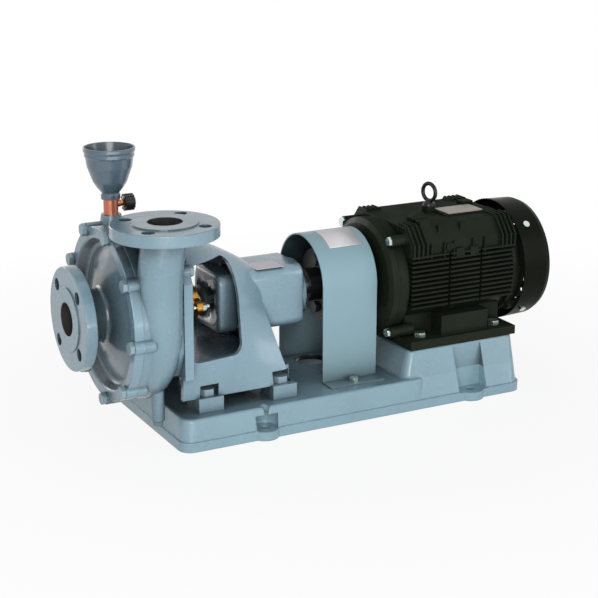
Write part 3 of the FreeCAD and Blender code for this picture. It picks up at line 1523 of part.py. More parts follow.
def make_end_shields():
    start = frame_start()
    seat = n.motor_bearing_outer + n.seat_gap
    spigot = n.frame_bore - n.seat_gap
    front = start - 39
    bearing_x = start - n.motor_bearing_front
    edge = n.shield_radius
    body = new_body("drive_end_shield", shaft_z)
    revolve(body, [
        (at(front), 15.8), (at(front), 42.0), (at(front + 5), 47.0), (at(front + 6), edge - 9),
        (at(front + 10), edge), (at(front + 21), edge), (at(front + 22), edge - 2), (at(start), edge - 2),
        (at(start), spigot), (at(start + 6), spigot), (at(start + 6), 64.0), (at(start - 2), 64.0),
        (at(start - 12), edge - 12), (at(front + 17), edge - 14), (at(front + 14), 40.0),
        (at(bearing_x + n.motor_bearing_width), 38.0), (at(bearing_x + n.motor_bearing_width), seat),
        (at(bearing_x), seat), (at(bearing_x), 26.0), (at(bearing_x - 4), 22.0), (at(bearing_x - 4), 15.8),
    ])
    sketch = new_sketch(body, "YZ_Plane", at(start - 24))
    for y, z in shield_bolt_spots():
        disc(sketch, y, z, n.shield_lug)
    extrude(body, sketch, 24)
    sketch = new_sketch(body, "YZ_Plane", at(start - 25))
    for y, z in shield_bolt_spots():
        disc(sketch, y, z, hole_for(M8, n.shield_gap))
    extrude(body, sketch, 26, "Pocket", back=True)
    keep(body)

    end = frame_end()
    rear_x = end - n.motor_bearing_rear
    hub = 38.0
    body = new_body("fan_end_shield", shaft_z)
    revolve(body, [
        (at(rear_x), seat), (at(rear_x), hub), (at(end + 4), hub), (at(end + 4), 60.0), (at(end - 6), 64.0),
        (at(end - 6), spigot), (at(end), spigot), (at(end), 88.0), (at(end + 12), 88.0), (at(end + 15), 84.0),
        (at(end + 15), 15.8), (at(end + 11), 15.8), (at(end + 8), 26.0), (at(end + 8), seat),
    ])
    post = n.cowl_radius - n.cowl_sheet - 10.2
    sketch = new_sketch(body, "YZ_Plane", at(end + 6))
    for y, z in ring_spots(float(post), 4, 0.0):
        disc(sketch, y, z, 8.2)
    extrude(body, sketch, n.cowl_start + 26 - end - 6)
    sketch = new_sketch(body, "YZ_Plane", at(end - 1))
    for y, z in ring_spots(fan_shield_radius(), 4, 45.0):
        disc(sketch, y, z, hole_for(M6, n.shield_gap))
    extrude(body, sketch, 18, "Pocket", back=True)
    cowl_screw_holes(body, 2.5, 70.0)
    corner_turn(body)
    keep(body)


def corner_turn(body):
    """Turns a body with four arms so that they stand at the corners."""
    body.Placement = Placement(body.Placement.Base, Rotation(Vector(1, 0, 0), 45))


def cowl_screw_holes(body, radius, inner):
    sketch = new_sketch(body, "XY_Plane", inner)
    disc(sketch, cowl_screw_x(), 0, radius)
    hole = extrude(body, sketch, n.cowl_radius + 5 - inner, "Pocket", back=True)
    around(body, [hole], 4)


def cowl_screw_x():
    return at(n.cowl_start + 19)


def fan_shield_radius():
    return float(n.frame_bore + n.frame_radius) / 2


def make_motor_core():
    start = frame_start() + n.core_start
    length = n.core_length
    rotor = n.rotor_radius
    stator = n.frame_bore
    simple_ring("stator_core", start, start + length, stator, rotor + n.air_gap)
    windings = []
    for x in (start - n.winding_reach, start + length):
        ring = tube(at(x), n.winding_reach, n.winding_radius, rotor + 3.0)
        windings.append(ring.makeFillet(5.0, [e for e in ring.Edges if isinstance(e.Curve, Part.Circle)]))
    keep(solid_feature("stator_windings", Part.makeCompound(windings), shaft_z))
    body = new_body("rotor_core", shaft_z)
    bore = n.rotor_bore
    revolve(body, [
        (at(start - 9), 30.0), (at(start - 9), rotor - 3), (at(start), rotor - 3), (at(start), rotor),
        (at(start + length), rotor), (at(start + length), rotor - 3), (at(start + length + 9), rotor - 3),
        (at(start + length + 9), 30.0), (at(start + length), 30.0), (at(start + length), bore),
        (at(start), bore), (at(start), 30.0),
    ])
    keep(body)
    body = new_body("motor_shaft", shaft_z)
    nose = n.motor_foot_front - n.motor_nose
    tip = n.shaft_end + n.coupling_gap + 1
    bearing_x = frame_start() - n.motor_bearing_front
    rear_x = frame_end() - n.motor_bearing_rear
    seat = n.coupling_seat
    journal = n.journal
    width = n.motor_bearing_width
    tail = n.cowl_start + 32
    revolve(body, [
        (at(tip), 0.0), (at(tip), seat - 1), (at(tip + 1), seat), (at(nose), seat), (at(nose), journal),
        (at(bearing_x + width), journal), (at(bearing_x + width), 18.0), (at(start), 18.0),
        (at(start), bore - n.seat_gap), (at(start + length), bore - n.seat_gap),
        (at(start + length), 18.0), (at(rear_x), 18.0), (at(rear_x), journal),
        (at(rear_x + width), journal), (at(rear_x + width), journal - 2), (at(tail - 1), journal - 2),
        (at(tail), journal - 3), (at(tail), 0.0),
    ])
    sketch = new_sketch(body, "XY_Plane", seat - 4)
    rectangle(sketch, at(tip + 4), at(tip + 36), -n.coupling_key / 2, n.coupling_key / 2)
    extrude(body, sketch, 8, "Pocket", back=True)
    keep(body)


def make_fan():
    body = new_body("cooling_fan", shaft_z)
    start = n.cowl_start + 10
    reach = n.fan_radius
    bore = n.journal - 2 + n.seat_gap
    revolve(body, [
        (at(start), bore), (at(start), 24.0), (at(start + 3), 30.0), (at(start + 3), reach),
        (at(start + 6), reach), (at(start + 6), 30.0), (at(start + 20), 22.0), (at(start + 20), bore),
    ])
    sketch = new_sketch(body, "YZ_Plane", at(start + 5))
    rectangle(sketch, 21.0, reach, -1.3, 1.3)
    blade = extrude(body, sketch, 16)
    around(body, [blade], 8)
    keep(body)

    body = new_body("fan_cowl", shaft_z)
    a, b = n.cowl_start, n.cowl_end
    r = n.cowl_radius
    sheet_thick = n.cowl_sheet
    bend = 12.0
    revolve(body, [
        (at(a), r - sheet_thick), (at(a), r), (at(b - bend), r - 2), (at(b - bend * 0.3), r - 2 - bend * 0.3),
        (at(b), r - 2 - bend), (at(b), 0.0), (at(b - sheet_thick), 0.0), (at(b - sheet_thick), r - 3 - bend),
        (at(b - bend * 0.3 - 1.5), r - 3 - bend * 0.3 - 0.6), (at(b - bend - 0.6), r - 2 - sheet_thick),
    ])
    sketch = new_sketch(body, "YZ_Plane", at(b - 4))
    outline(sketch, [
        (-2.2, 30.0), (2.2, 30.0), (3.4, 52.0), (-3.4, 52.0),
    ])
    outline(sketch, [
        (-3.6, 57.0), (3.6, 57.0), (4.6, 78.0), (-4.6, 78.0),
    ])
    slots = extrude(body, sketch, 6, "Pocket", back=True)
    around(body, [slots], 24)
    cowl_screw_holes(body, 2.7, 80.0)
    corner_turn(body)
    keep(body)


# Fasteners, each kind one group

def group(label, shapes):
    keep(solid_feature(label, Part.makeCompound(shapes), shaft_z))


def stud_bolt(seat, axis, size, shank_length, nut_gap=None):
    """Bolt with its head on seat; a nut faces the seat at nut_gap below it."""
    body = bolt(seat, axis, size["shank"], shank_length, size["flats"], size["head"])
    if nut_gap is not None:
        nut_seat = seat - axis * nut_gap
        body = body.fuse(prism(nut_seat, axis * -1, size["flats"], size["head"] + 1)).removeSplitter()
    return body


def make_cover_bolts():
    seat = n.cover_station - 2
    shank = casing_face() + n.casing_rim - 0.5 - seat
    bolts = []
    for y, z in ring_spots(float(n.cover_bolt_radius), COVER_BOLTS, COVER_FIRST):
        bolts.append(stud_bolt(Vector(float(at(seat)), y, z), Vector(-1, 0, 0), M10, float(shank)))
    group("cover_bolts", bolts)


def make_bracket_bolts():
    flange_end = float(at(n.casing_back + n.bracket_flange))
    shapes = []
    for y, z in bracket_bolt_spots():
        seat = Vector(flange_end, y, z)
        shapes.append(stud_bolt(seat, Vector(1, 0, 0), M10, float(n.bracket_flange) + 11))
    group("bracket_bolts", shapes)


def make_foot_bolts():
    floor_z = -float(n.pump_height)
    shapes = []
    for station in (n.foot_front, n.foot_front + n.foot_pitch):
        for side in (-1, 1):
            seat = Vector(float(at(station)), side * float(n.foot_half), floor_z + float(n.foot_thick + 2))
            grip = float(n.foot_thick + 2 + n.base_wall)
            shapes.append(stud_bolt(seat, Vector(0, 0, 1), M16, grip + 16, grip))
    group("pump_foot_bolts", shapes)
    shapes = []
    for side in (-1, 1):
        seat = Vector(float(at(n.guard_start + n.guard_length / 2)), side * float(guard_bolt_y()),
                      floor_z + float(n.guard_sheet))
        grip = float(n.guard_sheet + n.base_wall)
        shapes.append(stud_bolt(seat, Vector(0, 0, 1), M8, grip + 9, grip))
    group("guard_bolts", shapes)
    shapes = []
    for station in (n.motor_foot_front, n.motor_foot_front + n.motor_foot_pitch):
        for side in (-1, 1):
            thick = float(n.motor_foot_thick)
            seat = Vector(float(at(station)), side * float(n.motor_foot_half), thick - float(n.motor_height))
            grip = thick + float(n.base_wall)
            shapes.append(stud_bolt(seat, Vector(0, 0, 1), M10, grip + 12, grip))
    group("motor_foot_bolts", shapes)


def make_cap_bolts():
    """Cap screws of the rear bearing cover."""
    shapes = []
    back = float(at(n.barrel_end)) + 5
    radius = float(n.barrel_radius) - 4
    for y, z in cap_bolt_spots(radius):
        seat = Vector(back, y, z)
        shapes.append(stud_bolt(seat, Vector(1, 0, 0), CAP_SCREW, 5 + 13))
    group("bearing_cover_bolts", shapes)


def make_shield_bolts():
    shapes = []
    front = float(at(frame_start() - 24))
    for y, z in shield_bolt_spots():
        shapes.append(stud_bolt(Vector(front, y, z), Vector(-1, 0, 0), M8, 24 + 13))
    back = float(at(frame_end() + 15))
    for y, z in fan_shield_spots():
        shapes.append(stud_bolt(Vector(back, y, z), Vector(1, 0, 0), M6, 15 + 13))
    group("end_shield_bolts", shapes)
    shapes = []
    outer = float(n.cowl_radius)
    for y, z in ring_spots(1.0, 4, 45.0):
        out = Vector(0, y, z)
        start = Vector(float(cowl_screw_x()), 0, 0)
        shank = Part.makeCylinder(2.4, 12, start + out * (outer - 12), out)
        head = Part.makeCylinder(5.5, 3.2, start + out * (outer - 0.35), out)
        shapes.append(shank.fuse(head).removeSplitter())
    group("cowl_screws", shapes)


def make_eye_bolt():
    seat = float(n.frame_top) + 8
    x = float(eye_x())
    centre = Vector(x, 0, seat + 21.5)
    facing = Vector(math.cos(math.radians(13)), math.sin(math.radians(13)), 0)
    ring = Part.makeTorus(float(n.eye_ring), float(n.eye_wire), centre, facing)
    collar = Part.makeCone(10.5, 9.5, 4, Vector(x, 0, seat))
    neck = Part.makeCone(8.0, 3.4, 6, Vector(x, 0, seat + 4))
    stem = Part.makeCylinder(4.0, 14, Vector(x, 0, seat - 14))
    body = ring.fuse([collar, neck, stem])
    keep(solid_feature("eye_bolt", body, shaft_z))


def make_nameplate():
    body = new_body("motor_nameplate", shaft_z)
    x0 = at(frame_start())
    sketch = new_sketch(body, "XY_Plane", n.frame_top - 1)
    left = x0 + 106
    near = -37.0
    rounded_rectangle(sketch, left, left + n.plate_length, near, near + n.plate_width, 2.0)
    extrude(body, sketch, 1.2)
    keep(body)


def make_terminal_box():
    body = new_body("terminal_box", shaft_z)
    x0 = at(frame_start() + 46)
    x1 = x0 + n.terminal_width
    middle = x0 + n.terminal_width / 2
    z0 = -n.terminal_low
    z1 = n.terminal_high
    seat = n.frame_half + 2
    depth = n.terminal_depth
    wall = n.terminal_wall
    sketch = new_sketch(body, "XZ_Plane", -seat)
    rounded_rectangle(sketch, x0, x1, z0, z1, 8.0)
    extrude(body, sketch, depth, back=True)
    sketch = new_sketch(body, "XZ_Plane", -seat - wall)
    rounded_rectangle(sketch, x0 + wall, x1 - wall, z0 + wall, z1 - wall, 5.0)
    extrude(body, sketch, depth, "Pocket")
    sketch = new_sketch(body, "XY_Plane", z0 - 14)
    disc(sketch, middle, seat + depth / 2, 13.0)
    extrude(body, sketch, 15)
    sketch = new_sketch(body, "XY_Plane", z0 - 14)
    disc(sketch, middle, seat + depth / 2, 8.0)
    extrude(body, sketch, 20, "Pocket", back=True)
    keep(body)
    body = new_body("terminal_box_lid", shaft_z)
    sketch = new_sketch(body, "XZ_Plane", -seat - depth)
    rounded_rectangle(sketch, x0 - 2, x1 + 2, z0 - 2, z1 + 2, 9.0)
    extrude(body, sketch, 5, back=True)
    keep(body)


# Priming funnel with its cock

def make_funnel():
    boss_top = shaft_z + n.funnel_base
    x = at(n.funnel_station)
    body = new_body("priming_nipple")
    place(body, x, n.funnel_offset, boss_top)
    r = n.nipple_radius
    bore = r - 3
    revolve(body, [
        (bore, -9.0), (r, -9.0), (r, n.nipple_length + 6), (bore, n.nipple_length + 6),
    ], axis="V_Axis")
    # hub and seat of the cock, towards the motor side
    sketch = new_sketch(body, "YZ_Plane", r - 2)
    disc(sketch, 0, n.cock_rise, 6.0)
    hub = extrude(body, sketch, 6)
    hub.TaperAngle = -8
    sketch = new_sketch(body, "YZ_Plane", bore - 1)
    disc(sketch, 0, n.cock_rise, n.cock_stem + n.seat_gap)
    extrude(body, sketch, 20, "Pocket", back=True)
    keep(body)

    body = new_body("priming_funnel")
    place(body, x, n.funnel_offset, boss_top + n.nipple_length)
    top = n.funnel_height
    rim = n.funnel_radius
    wall = n.funnel_wall
    inner = r + 0.05
    revolve(body, [
        (inner, 0.0), (14.0, 0.0), (14.4, 7.0), (13.0, 9.5, (19.5, 17.5)), (25.0, 26.0),
        (rim - 5, 48.0), (rim - 3, top - 15), (rim - 1.5, top - 13), (rim - 1.5, top - 8),
        (rim, top - 5), (rim, top - 1), (rim - 1, top), (rim - wall + 0.5, top), (rim - wall - 1, top - 6),
        (rim - 3 - wall, top - 15), (rim - 5 - wall, 48.0), (21.5, 27.5), (r - 2.5, 11.0), (r - 2.5, 8.0),
        (inner, 8.0),
    ], axis="V_Axis")
    keep(body)


def make_cock():
    z = shaft_z + n.funnel_base + n.cock_rise
    x = at(n.funnel_station)
    start = n.nipple_radius - 2 + 6
    stem = n.cock_stem
    body = new_body("vent_cock_stem")
    place(body, x, n.funnel_offset, z)
    revolve(body, [
        (n.nipple_radius - 2.5, 0.0), (n.nipple_radius - 2.5, stem), (start, stem), (start, stem + 1.2),
        (start + 3, stem + 1.2), (start + 4, stem), (start + 14, stem), (start + 14, 0.0),
    ])
    keep(body)
    body = new_body("vent_cock_knob")
    place(body, x, n.funnel_offset, z)
    knob = start + 4.1
    grip = n.knob_radius
    bore = stem + n.seat_gap
    revolve(body, [
        (knob, bore), (knob, 6.0), (knob + 2, grip), (knob + 15, grip), (knob + 17, grip - 2.5),
        (knob + 17, 0.0), (start + 14.1, 0.0), (start + 14.1, bore),
    ])
    sketch = new_sketch(body, "YZ_Plane", knob + 1)
    rectangle(sketch, grip - 1.5, grip + 1.1, -1.2, 1.2)
    rib = extrude(body, sketch, 14.5)
    around(body, [rib], 12)
    keep(body)


def make_drain_plug():
    spot = drain_spot()
    shank = Part.makeCylinder(M10["shank"], 12, spot)
    head = prism(spot, Vector(0, 0, -1), 14.0, 8.0)
    body = shank.fuse(head).removeSplitter()
    keep(solid_feature("casing_drain_plug", body, shaft_z))


def check_and_write():
    doc.recompute()
    bad = [item.Name for item in doc.Objects if "Invalid" in item.State or "Error" in item.State]
    if bad:
        raise RuntimeError("objects in error: " + ", ".join(bad))
    for item in nodes:
        if item.Shape.isNull() or not item.Shape.isValid():
            raise RuntimeError("bad shape: " + item.Label)
    os.makedirs("parts", exist_ok=True)
    for item in nodes:
        item.Shape.exportStep("parts/%s.step" % item.Label)
        box = item.Shape.BoundBox
        print("%-28s solids %2d  volume %10.0f  x %7.1f %7.1f  y %7.1f %7.1f  z %7.1f %7.1f" % (
            item.Label, len(item.Shape.Solids), item.Shape.Volume,
            box.XMin, box.XMax, box.YMin, box.YMax, box.ZMin, box.ZMax))


def main():
    make_bedplate()
    make_suction_cover()
    make_gasket()
    make_volute()
    make_wear_ring()
    make_impeller()
    make_impeller_fixings()
    make_pump_shaft()
    make_sleeve()
    make_packing()
    make_deflector()
    make_bracket()
    make_bearing_covers()
    bearing_set("pump", [at(front_seat()), at(back_seat() - n.bearing_width)],
                n.bearing_width, n.journal + n.seat_gap, n.bearing_outer, 6.0)
    make_coupling()
    make_guard()
    make_motor_frame()
    make_end_shields()
    make_motor_core()
    motor_places = [at(frame_start() - n.motor_bearing_front), at(frame_end() - n.motor_bearing_rear)]
    bearing_set("motor", motor_places, n.motor_bearing_width,
                n.journal + n.seat_gap, n.motor_bearing_outer, 4.7)
    make_fan()
    make_cover_bolts()
    make_bracket_bolts()
    make_foot_bolts()
    make_cap_bolts()
    make_shield_bolts()
    make_eye_bolt()
    make_nameplate()
    make_terminal_box()
    make_funnel()
    make_cock()
    make_drain_plug()
    check_and_write()


main()
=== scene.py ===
import bpy
import json
import math
from mathutils import Matrix, Vector


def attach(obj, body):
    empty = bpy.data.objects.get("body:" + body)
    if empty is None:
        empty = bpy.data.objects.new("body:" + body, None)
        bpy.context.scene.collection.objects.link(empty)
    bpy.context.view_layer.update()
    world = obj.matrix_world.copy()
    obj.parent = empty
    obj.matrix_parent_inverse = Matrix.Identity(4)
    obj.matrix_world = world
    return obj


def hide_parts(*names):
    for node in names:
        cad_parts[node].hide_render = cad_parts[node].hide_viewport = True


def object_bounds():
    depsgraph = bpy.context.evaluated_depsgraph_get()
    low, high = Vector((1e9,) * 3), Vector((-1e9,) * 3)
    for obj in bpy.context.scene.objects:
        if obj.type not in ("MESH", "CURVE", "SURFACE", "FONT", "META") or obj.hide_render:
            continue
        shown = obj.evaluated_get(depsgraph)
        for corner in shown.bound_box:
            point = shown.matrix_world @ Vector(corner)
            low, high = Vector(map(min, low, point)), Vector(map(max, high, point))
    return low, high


# Looks of a centrifugal pump set on its bedplate: paints, metals, cast details, blank labels,
# floor, light and camera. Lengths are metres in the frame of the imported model: X runs along the
# shaft from the suction flange to the motor, the near side is -Y, and Z is up from the floor.

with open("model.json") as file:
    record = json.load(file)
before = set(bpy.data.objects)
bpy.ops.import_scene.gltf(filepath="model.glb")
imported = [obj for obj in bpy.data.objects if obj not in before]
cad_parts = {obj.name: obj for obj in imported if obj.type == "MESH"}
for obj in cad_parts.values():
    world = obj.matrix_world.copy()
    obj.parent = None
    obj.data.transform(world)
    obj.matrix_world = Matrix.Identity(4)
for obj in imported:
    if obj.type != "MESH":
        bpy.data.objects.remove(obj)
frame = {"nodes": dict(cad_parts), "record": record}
cad_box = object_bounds()
nodes = frame["nodes"]


def mount_place(name):
    """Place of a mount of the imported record."""
    return next(mount["pos_m"] for mount in frame["record"]["mounts"] if mount["name"] == name)


SUCTION_X = cad_box[0].x
SHAFT_Z = mount_place("suction_bore")[2]
DISCHARGE_X, DISCHARGE_Y = mount_place("discharge_bolts")[:2]


def station(value_mm):
    """X of a place measured in millimetres from the suction face."""
    return SUCTION_X + value_mm / 1000.0


# Colours

def srgb(red, green, blue):
    """A colour written as 0 to 255 screen values."""
    linear = []
    for value in (red, green, blue):
        share = value / 255.0
        linear.append(share / 12.92 if share <= 0.04045 else ((share + 0.055) / 1.055) ** 2.4)
    return (*linear, 1.0)


def shift(colour, factor):
    """A lighter or darker shade of a colour."""
    return tuple(min(1.0, channel * factor) for channel in colour[:3]) + (1.0,)


def grey(value):
    return (value, value, value, 1.0)


# Shader nodes

# sockets of the Mix node when it mixes colours, which share their names with its other sockets
MIX_FIRST, MIX_SECOND, MIX_RESULT = 6, 7, 2


def new_material(name):
    """A material with an output and a Principled shader."""
    material = bpy.data.materials.new(name)
    material.use_nodes = True
    tree = material.node_tree
    tree.nodes.clear()
    out = tree.nodes.new("ShaderNodeOutputMaterial")
    shader = tree.nodes.new("ShaderNodeBsdfPrincipled")
    tree.links.new(shader.outputs["BSDF"], out.inputs["Surface"])
    return material, tree, shader


def feed(tree, source, socket):
    """Links another socket to this one, or sets a number, vector or colour on it."""
    if isinstance(source, bpy.types.NodeSocket):
        tree.links.new(source, socket)
    else:
        socket.default_value = source


def math_node(tree, operation, one, two, clamp=False):
    node = tree.nodes.new("ShaderNodeMath")
    node.operation = operation
    node.use_clamp = clamp
    feed(tree, one, node.inputs[0])
    feed(tree, two, node.inputs[1])
    return node.outputs["Value"]


def vector_node(tree, operation, one, two=None):
    node = tree.nodes.new("ShaderNodeVectorMath")
    node.operation = operation
    feed(tree, one, node.inputs[0])
    if two is not None:
        feed(tree, two, node.inputs[1])
    return node.outputs["Value" if operation in ("LENGTH", "DOT_PRODUCT") else "Vector"]


def map_range(tree, source, from_low, from_high, to_low, to_high):
    node = tree.nodes.new("ShaderNodeMapRange")
    feed(tree, source, node.inputs["Value"])
    feed(tree, from_low, node.inputs["From Min"])
    feed(tree, from_high, node.inputs["From Max"])
    feed(tree, to_low, node.inputs["To Min"])
    feed(tree, to_high, node.inputs["To Max"])
    return node.outputs["Result"]


def mix_colours(tree, blend, amount, one, two):
    node = tree.nodes.new("ShaderNodeMix")
    node.data_type = "RGBA"
    node.blend_type = blend
    feed(tree, amount, node.inputs["Factor"])
    feed(tree, one, node.inputs[MIX_FIRST])
    feed(tree, two, node.inputs[MIX_SECOND])
    return node.outputs[MIX_RESULT]


def object_place(tree):
    return tree.nodes.new("ShaderNodeTexCoord").outputs["Object"]


def upward(tree, vector):
    """The Z part of a vector."""
    node = tree.nodes.new("ShaderNodeSeparateXYZ")
    tree.links.new(vector, node.inputs["Vector"])
    return node.outputs["Z"]


def noise(tree, scale, detail, stretch=None):
    mapping = tree.nodes.new("ShaderNodeMapping")
    if stretch:
        mapping.inputs["Scale"].default_value = stretch
    tree.links.new(object_place(tree), mapping.inputs["Vector"])
    node = tree.nodes.new("ShaderNodeTexNoise")
    node.inputs["Scale"].default_value = scale
    node.inputs["Detail"].default_value = detail
    tree.links.new(mapping.outputs["Vector"], node.inputs["Vector"])
    return node.outputs["Fac"]


def ramp(tree, source, low, high, start=0.35, end=0.65):
    node = tree.nodes.new("ShaderNodeValToRGB")
    first, last = node.color_ramp.elements
    first.position, first.color = start, low
    last.position, last.color = end, high
    tree.links.new(source, node.inputs["Fac"])
    return node.outputs["Color"]


def bump(tree, shader, layers, edge=0.0):
    """Chains bump layers, each a height, a strength and a depth, over edges softened by a radius."""
    normal = None
    if edge:
        bevel = tree.nodes.new("ShaderNodeBevel")
        bevel.samples = 4
        bevel.inputs["Radius"].default_value = edge
        normal = bevel.outputs["Normal"]
    for height, strength, depth in layers:
        node = tree.nodes.new("ShaderNodeBump")
        node.inputs["Strength"].default_value = strength
        node.inputs["Distance"].default_value = depth
        tree.links.new(height, node.inputs["Height"])
        if normal is not None:
            tree.links.new(normal, node.inputs["Normal"])
        normal = node.outputs["Normal"]
    tree.links.new(normal, shader.inputs["Normal"])


# Materials

# noise scales, in waves per metre
BLOTCHES, SMEARS, CAST_WAVES, ORANGE_PEEL = 9.0, 30.0, 55.0, 330.0
METAL_CLOUDS, METAL_LINES, PLAIN_CLOUDS = 25.0, 22.0, 40.0
# depths of the paint's relief
WAVE_DEPTH, PEEL_DEPTH = 0.0012, 0.0003
# how far the painted shade of corners and hollows looks for surfaces that close them in
PAINTED_SHADE_REACH = 0.11
COAT_ROUGHNESS = 0.12
# how far a face has to turn up before dust starts to dull it, where it is all dull, and by how much
DUST_START, DUST_FULL, DUST_ROUGHNESS = 0.35, 0.8, 0.7


def painted_shade(tree, darkest):
    """Painted shade: darkens the colour in corners and hollows, the more the nearer surfaces close them in.
    """
    node = tree.nodes.new("ShaderNodeAmbientOcclusion")
    node.samples = 8
    node.inputs["Distance"].default_value = PAINTED_SHADE_REACH
    return ramp(tree, node.outputs["AO"], grey(darkest), grey(1.0), 0.3, 0.92)


def near_axis(tree, centre, along, radius, start):
    """1 in a round bore, within a radius of its line and past a start along it, and 0 elsewhere."""
    place = object_place(tree)
    across = tuple(0.0 if part else 1.0 for part in along)
    aside = vector_node(tree, "MULTIPLY", vector_node(tree, "SUBTRACT", place, centre), across)
    inside = math_node(tree, "LESS_THAN", vector_node(tree, "LENGTH", aside), radius)
    past = math_node(tree, "GREATER_THAN", vector_node(tree, "DOT_PRODUCT", place, along), start)
    return math_node(tree, "MULTIPLY", inside, past)


def painted_casting(name, colour, rough=0.3, grain=0.25, coat=0.25, vary=0.05, hollow=0.4, level=0.5,
                    edge=0.0016, bore=None, bore_metal_and_hole_shade=(58, 54, 54), unshaded_below=0.0, dusty_top=False):
    """Gloss paint over a sand-cast surface: soft waves, fine orange peel, slight blotches and painted shade
    in corners and hollows.

    hollow is how dark the painted shade gets in the deepest corners, level the strength of reflections,
    edge the radius of softened edges, bore a hole as near_axis takes it, given bare metal or, in the grout
    hole, a near-black painted as its shade, unshaded_below a height under which no painted shade is laid,
    and dusty_top dulls the faces that look up.
    """
    material, tree, shader = new_material(name)
    tint = ramp(tree, noise(tree, BLOTCHES, 4.0), shift(colour, 1.0 - vary), shift(colour, 1.0 + vary))
    # painted shade: the colour is darkened in corners and hollows, only above the given height when one is
    # given
    shaded = 1.0
    if unshaded_below:
        shaded = math_node(tree, "GREATER_THAN", upward(tree, object_place(tree)), unshaded_below)
    look = mix_colours(tree, "MULTIPLY", shaded, tint, painted_shade(tree, hollow))
    # a bore is coloured bare metal; in the grout hole the near-black paints the shade inside it
    if bore:
        look = mix_colours(tree, "MIX", near_axis(tree, *bore), look, srgb(*bore_metal_and_hole_shade))
    tree.links.new(look, shader.inputs["Base Color"])
    gloss = ramp(tree, noise(tree, SMEARS, 3.0), grey(rough - 0.06), grey(rough + 0.08))
    if dusty_top:
        facing = upward(tree, tree.nodes.new("ShaderNodeNewGeometry").outputs["Normal"])
        dust = map_range(tree, facing, DUST_START, DUST_FULL, 0.0, DUST_ROUGHNESS)
        gloss = math_node(tree, "ADD", gloss, dust, clamp=True)
    tree.links.new(gloss, shader.inputs["Roughness"])
    bump(tree, shader, [
        (noise(tree, CAST_WAVES, 2.0), grain, WAVE_DEPTH),
        (noise(tree, ORANGE_PEEL, 2.0), grain * 0.9, PEEL_DEPTH),
    ], edge)
    shader.inputs["Specular IOR Level"].default_value = level
    shader.inputs["Coat Weight"].default_value = coat
    shader.inputs["Coat Roughness"].default_value = COAT_ROUGHNESS
    return material


def machined_metal(name, colour, rough=0.3, lines=(1.0, 60.0, 60.0), depth=0.00006, metallic=1.0):
    """Turned or rolled metal with fine lines; lines is how dense they are along X, Y and Z."""
    material, tree, shader = new_material(name)
    tint = ramp(tree, noise(tree, METAL_CLOUDS, 4.0), shift(colour, 0.82), shift(colour, 1.1))
    tree.links.new(tint, shader.inputs["Base Color"])
    streak = noise(tree, METAL_LINES, 2.0, lines)
    gloss = ramp(tree, streak, grey(rough - 0.08), grey(rough + 0.12))
    tree.links.new(gloss, shader.inputs["Roughness"])
    bump(tree, shader, [(streak, 0.35, depth)])
    shader.inputs["Metallic"].default_value = metallic
    return material


def plain_finish(name, colour, rough=0.5, grain_scale=300.0, grain=0.25, depth=0.0002, vary=0.08):
    """Rubber, plastic, packing or bare plate with a fine grain."""
    material, tree, shader = new_material(name)
    tint = ramp(tree, noise(tree, PLAIN_CLOUDS, 3.0), shift(colour, 1.0 - vary), shift(colour, 1.0 + vary))
    tree.links.new(tint, shader.inputs["Base Color"])
    fine = noise(tree, grain_scale, 2.0)
    gloss = ramp(tree, fine, grey(rough - 0.05), grey(rough + 0.08))
    tree.links.new(gloss, shader.inputs["Roughness"])
    bump(tree, shader, [(fine, grain, depth)])
    return material


# Bare bores in painted castings, and the grout hole painted near-black as its shade: a point on the line,
# its direction, the reach and where it starts
BORE_REACH = 0.0257
SUCTION_BORE = ((0.0, 0.0, SHAFT_Z), (-1, 0, 0), BORE_REACH, 0.36)
DISCHARGE_BORE = ((DISCHARGE_X, DISCHARGE_Y, 0.0), (0, 0, 1), BORE_REACH, 0.28)
SHADED_GROUT_HOLE = ((station(425), 0.038, 0.0), (0, 0, 1), BORE_REACH, 0.03)
# the near-black painted in the grout hole as the shade inside it
PAINTED_HOLE_SHADE = (20, 20, 22)
DECK_Z = 0.0465
PUMP = srgb(130, 159, 174)

# hollow sets how dark each paint's painted shade in corners and hollows gets
pump_paint = painted_casting("pump_paint", PUMP, rough=0.25, grain=0.26, hollow=0.16)
cover_paint = painted_casting("cover_paint", PUMP, rough=0.25, grain=0.26, hollow=0.08, bore=SUCTION_BORE)
casing_paint = painted_casting("casing_paint", srgb(124, 152, 166), rough=0.25, grain=0.26, hollow=0.16,
                               bore=DISCHARGE_BORE)
# the bedplate's grout hole is painted near-black as the shade inside it, and below the deck no painted
# shade is laid
deck_paint = painted_casting("bedplate_paint", srgb(130, 160, 173), rough=0.3, grain=0.35, vary=0.04,
                             hollow=0.2, edge=0.003, bore=SHADED_GROUT_HOLE, bore_metal_and_hole_shade=PAINTED_HOLE_SHADE,
                             unshaded_below=DECK_Z)
bolt_paint = painted_casting("bolt_paint", srgb(138, 163, 174), rough=0.38, grain=0.2, hollow=0.5)
guard_paint = painted_casting("guard_paint", srgb(134, 166, 177), rough=0.38, grain=0.03, coat=0.1,
                              vary=0.02, hollow=0.04, edge=0.0008)
funnel_paint = painted_casting("funnel_paint", srgb(84, 103, 117), rough=0.25, grain=0.12, coat=0.4,
                               hollow=0.5)
motor_paint = painted_casting("motor_paint", srgb(29, 35, 26), rough=0.22, grain=0.5, coat=0.0, vary=0.2,
                              hollow=0.8, level=0.09, edge=0.0018, dusty_top=True)
shield_paint = painted_casting("shield_paint", srgb(32, 39, 29), rough=0.3, grain=0.7, coat=0.0,
                               vary=0.12, hollow=0.4, level=0.08, edge=0.0025, dusty_top=True)
cowl_paint = painted_casting("cowl_paint", srgb(21, 25, 18), rough=0.3, grain=0.1, coat=0.0, vary=0.06,
                             hollow=0.5, level=0.03, edge=0.0014)

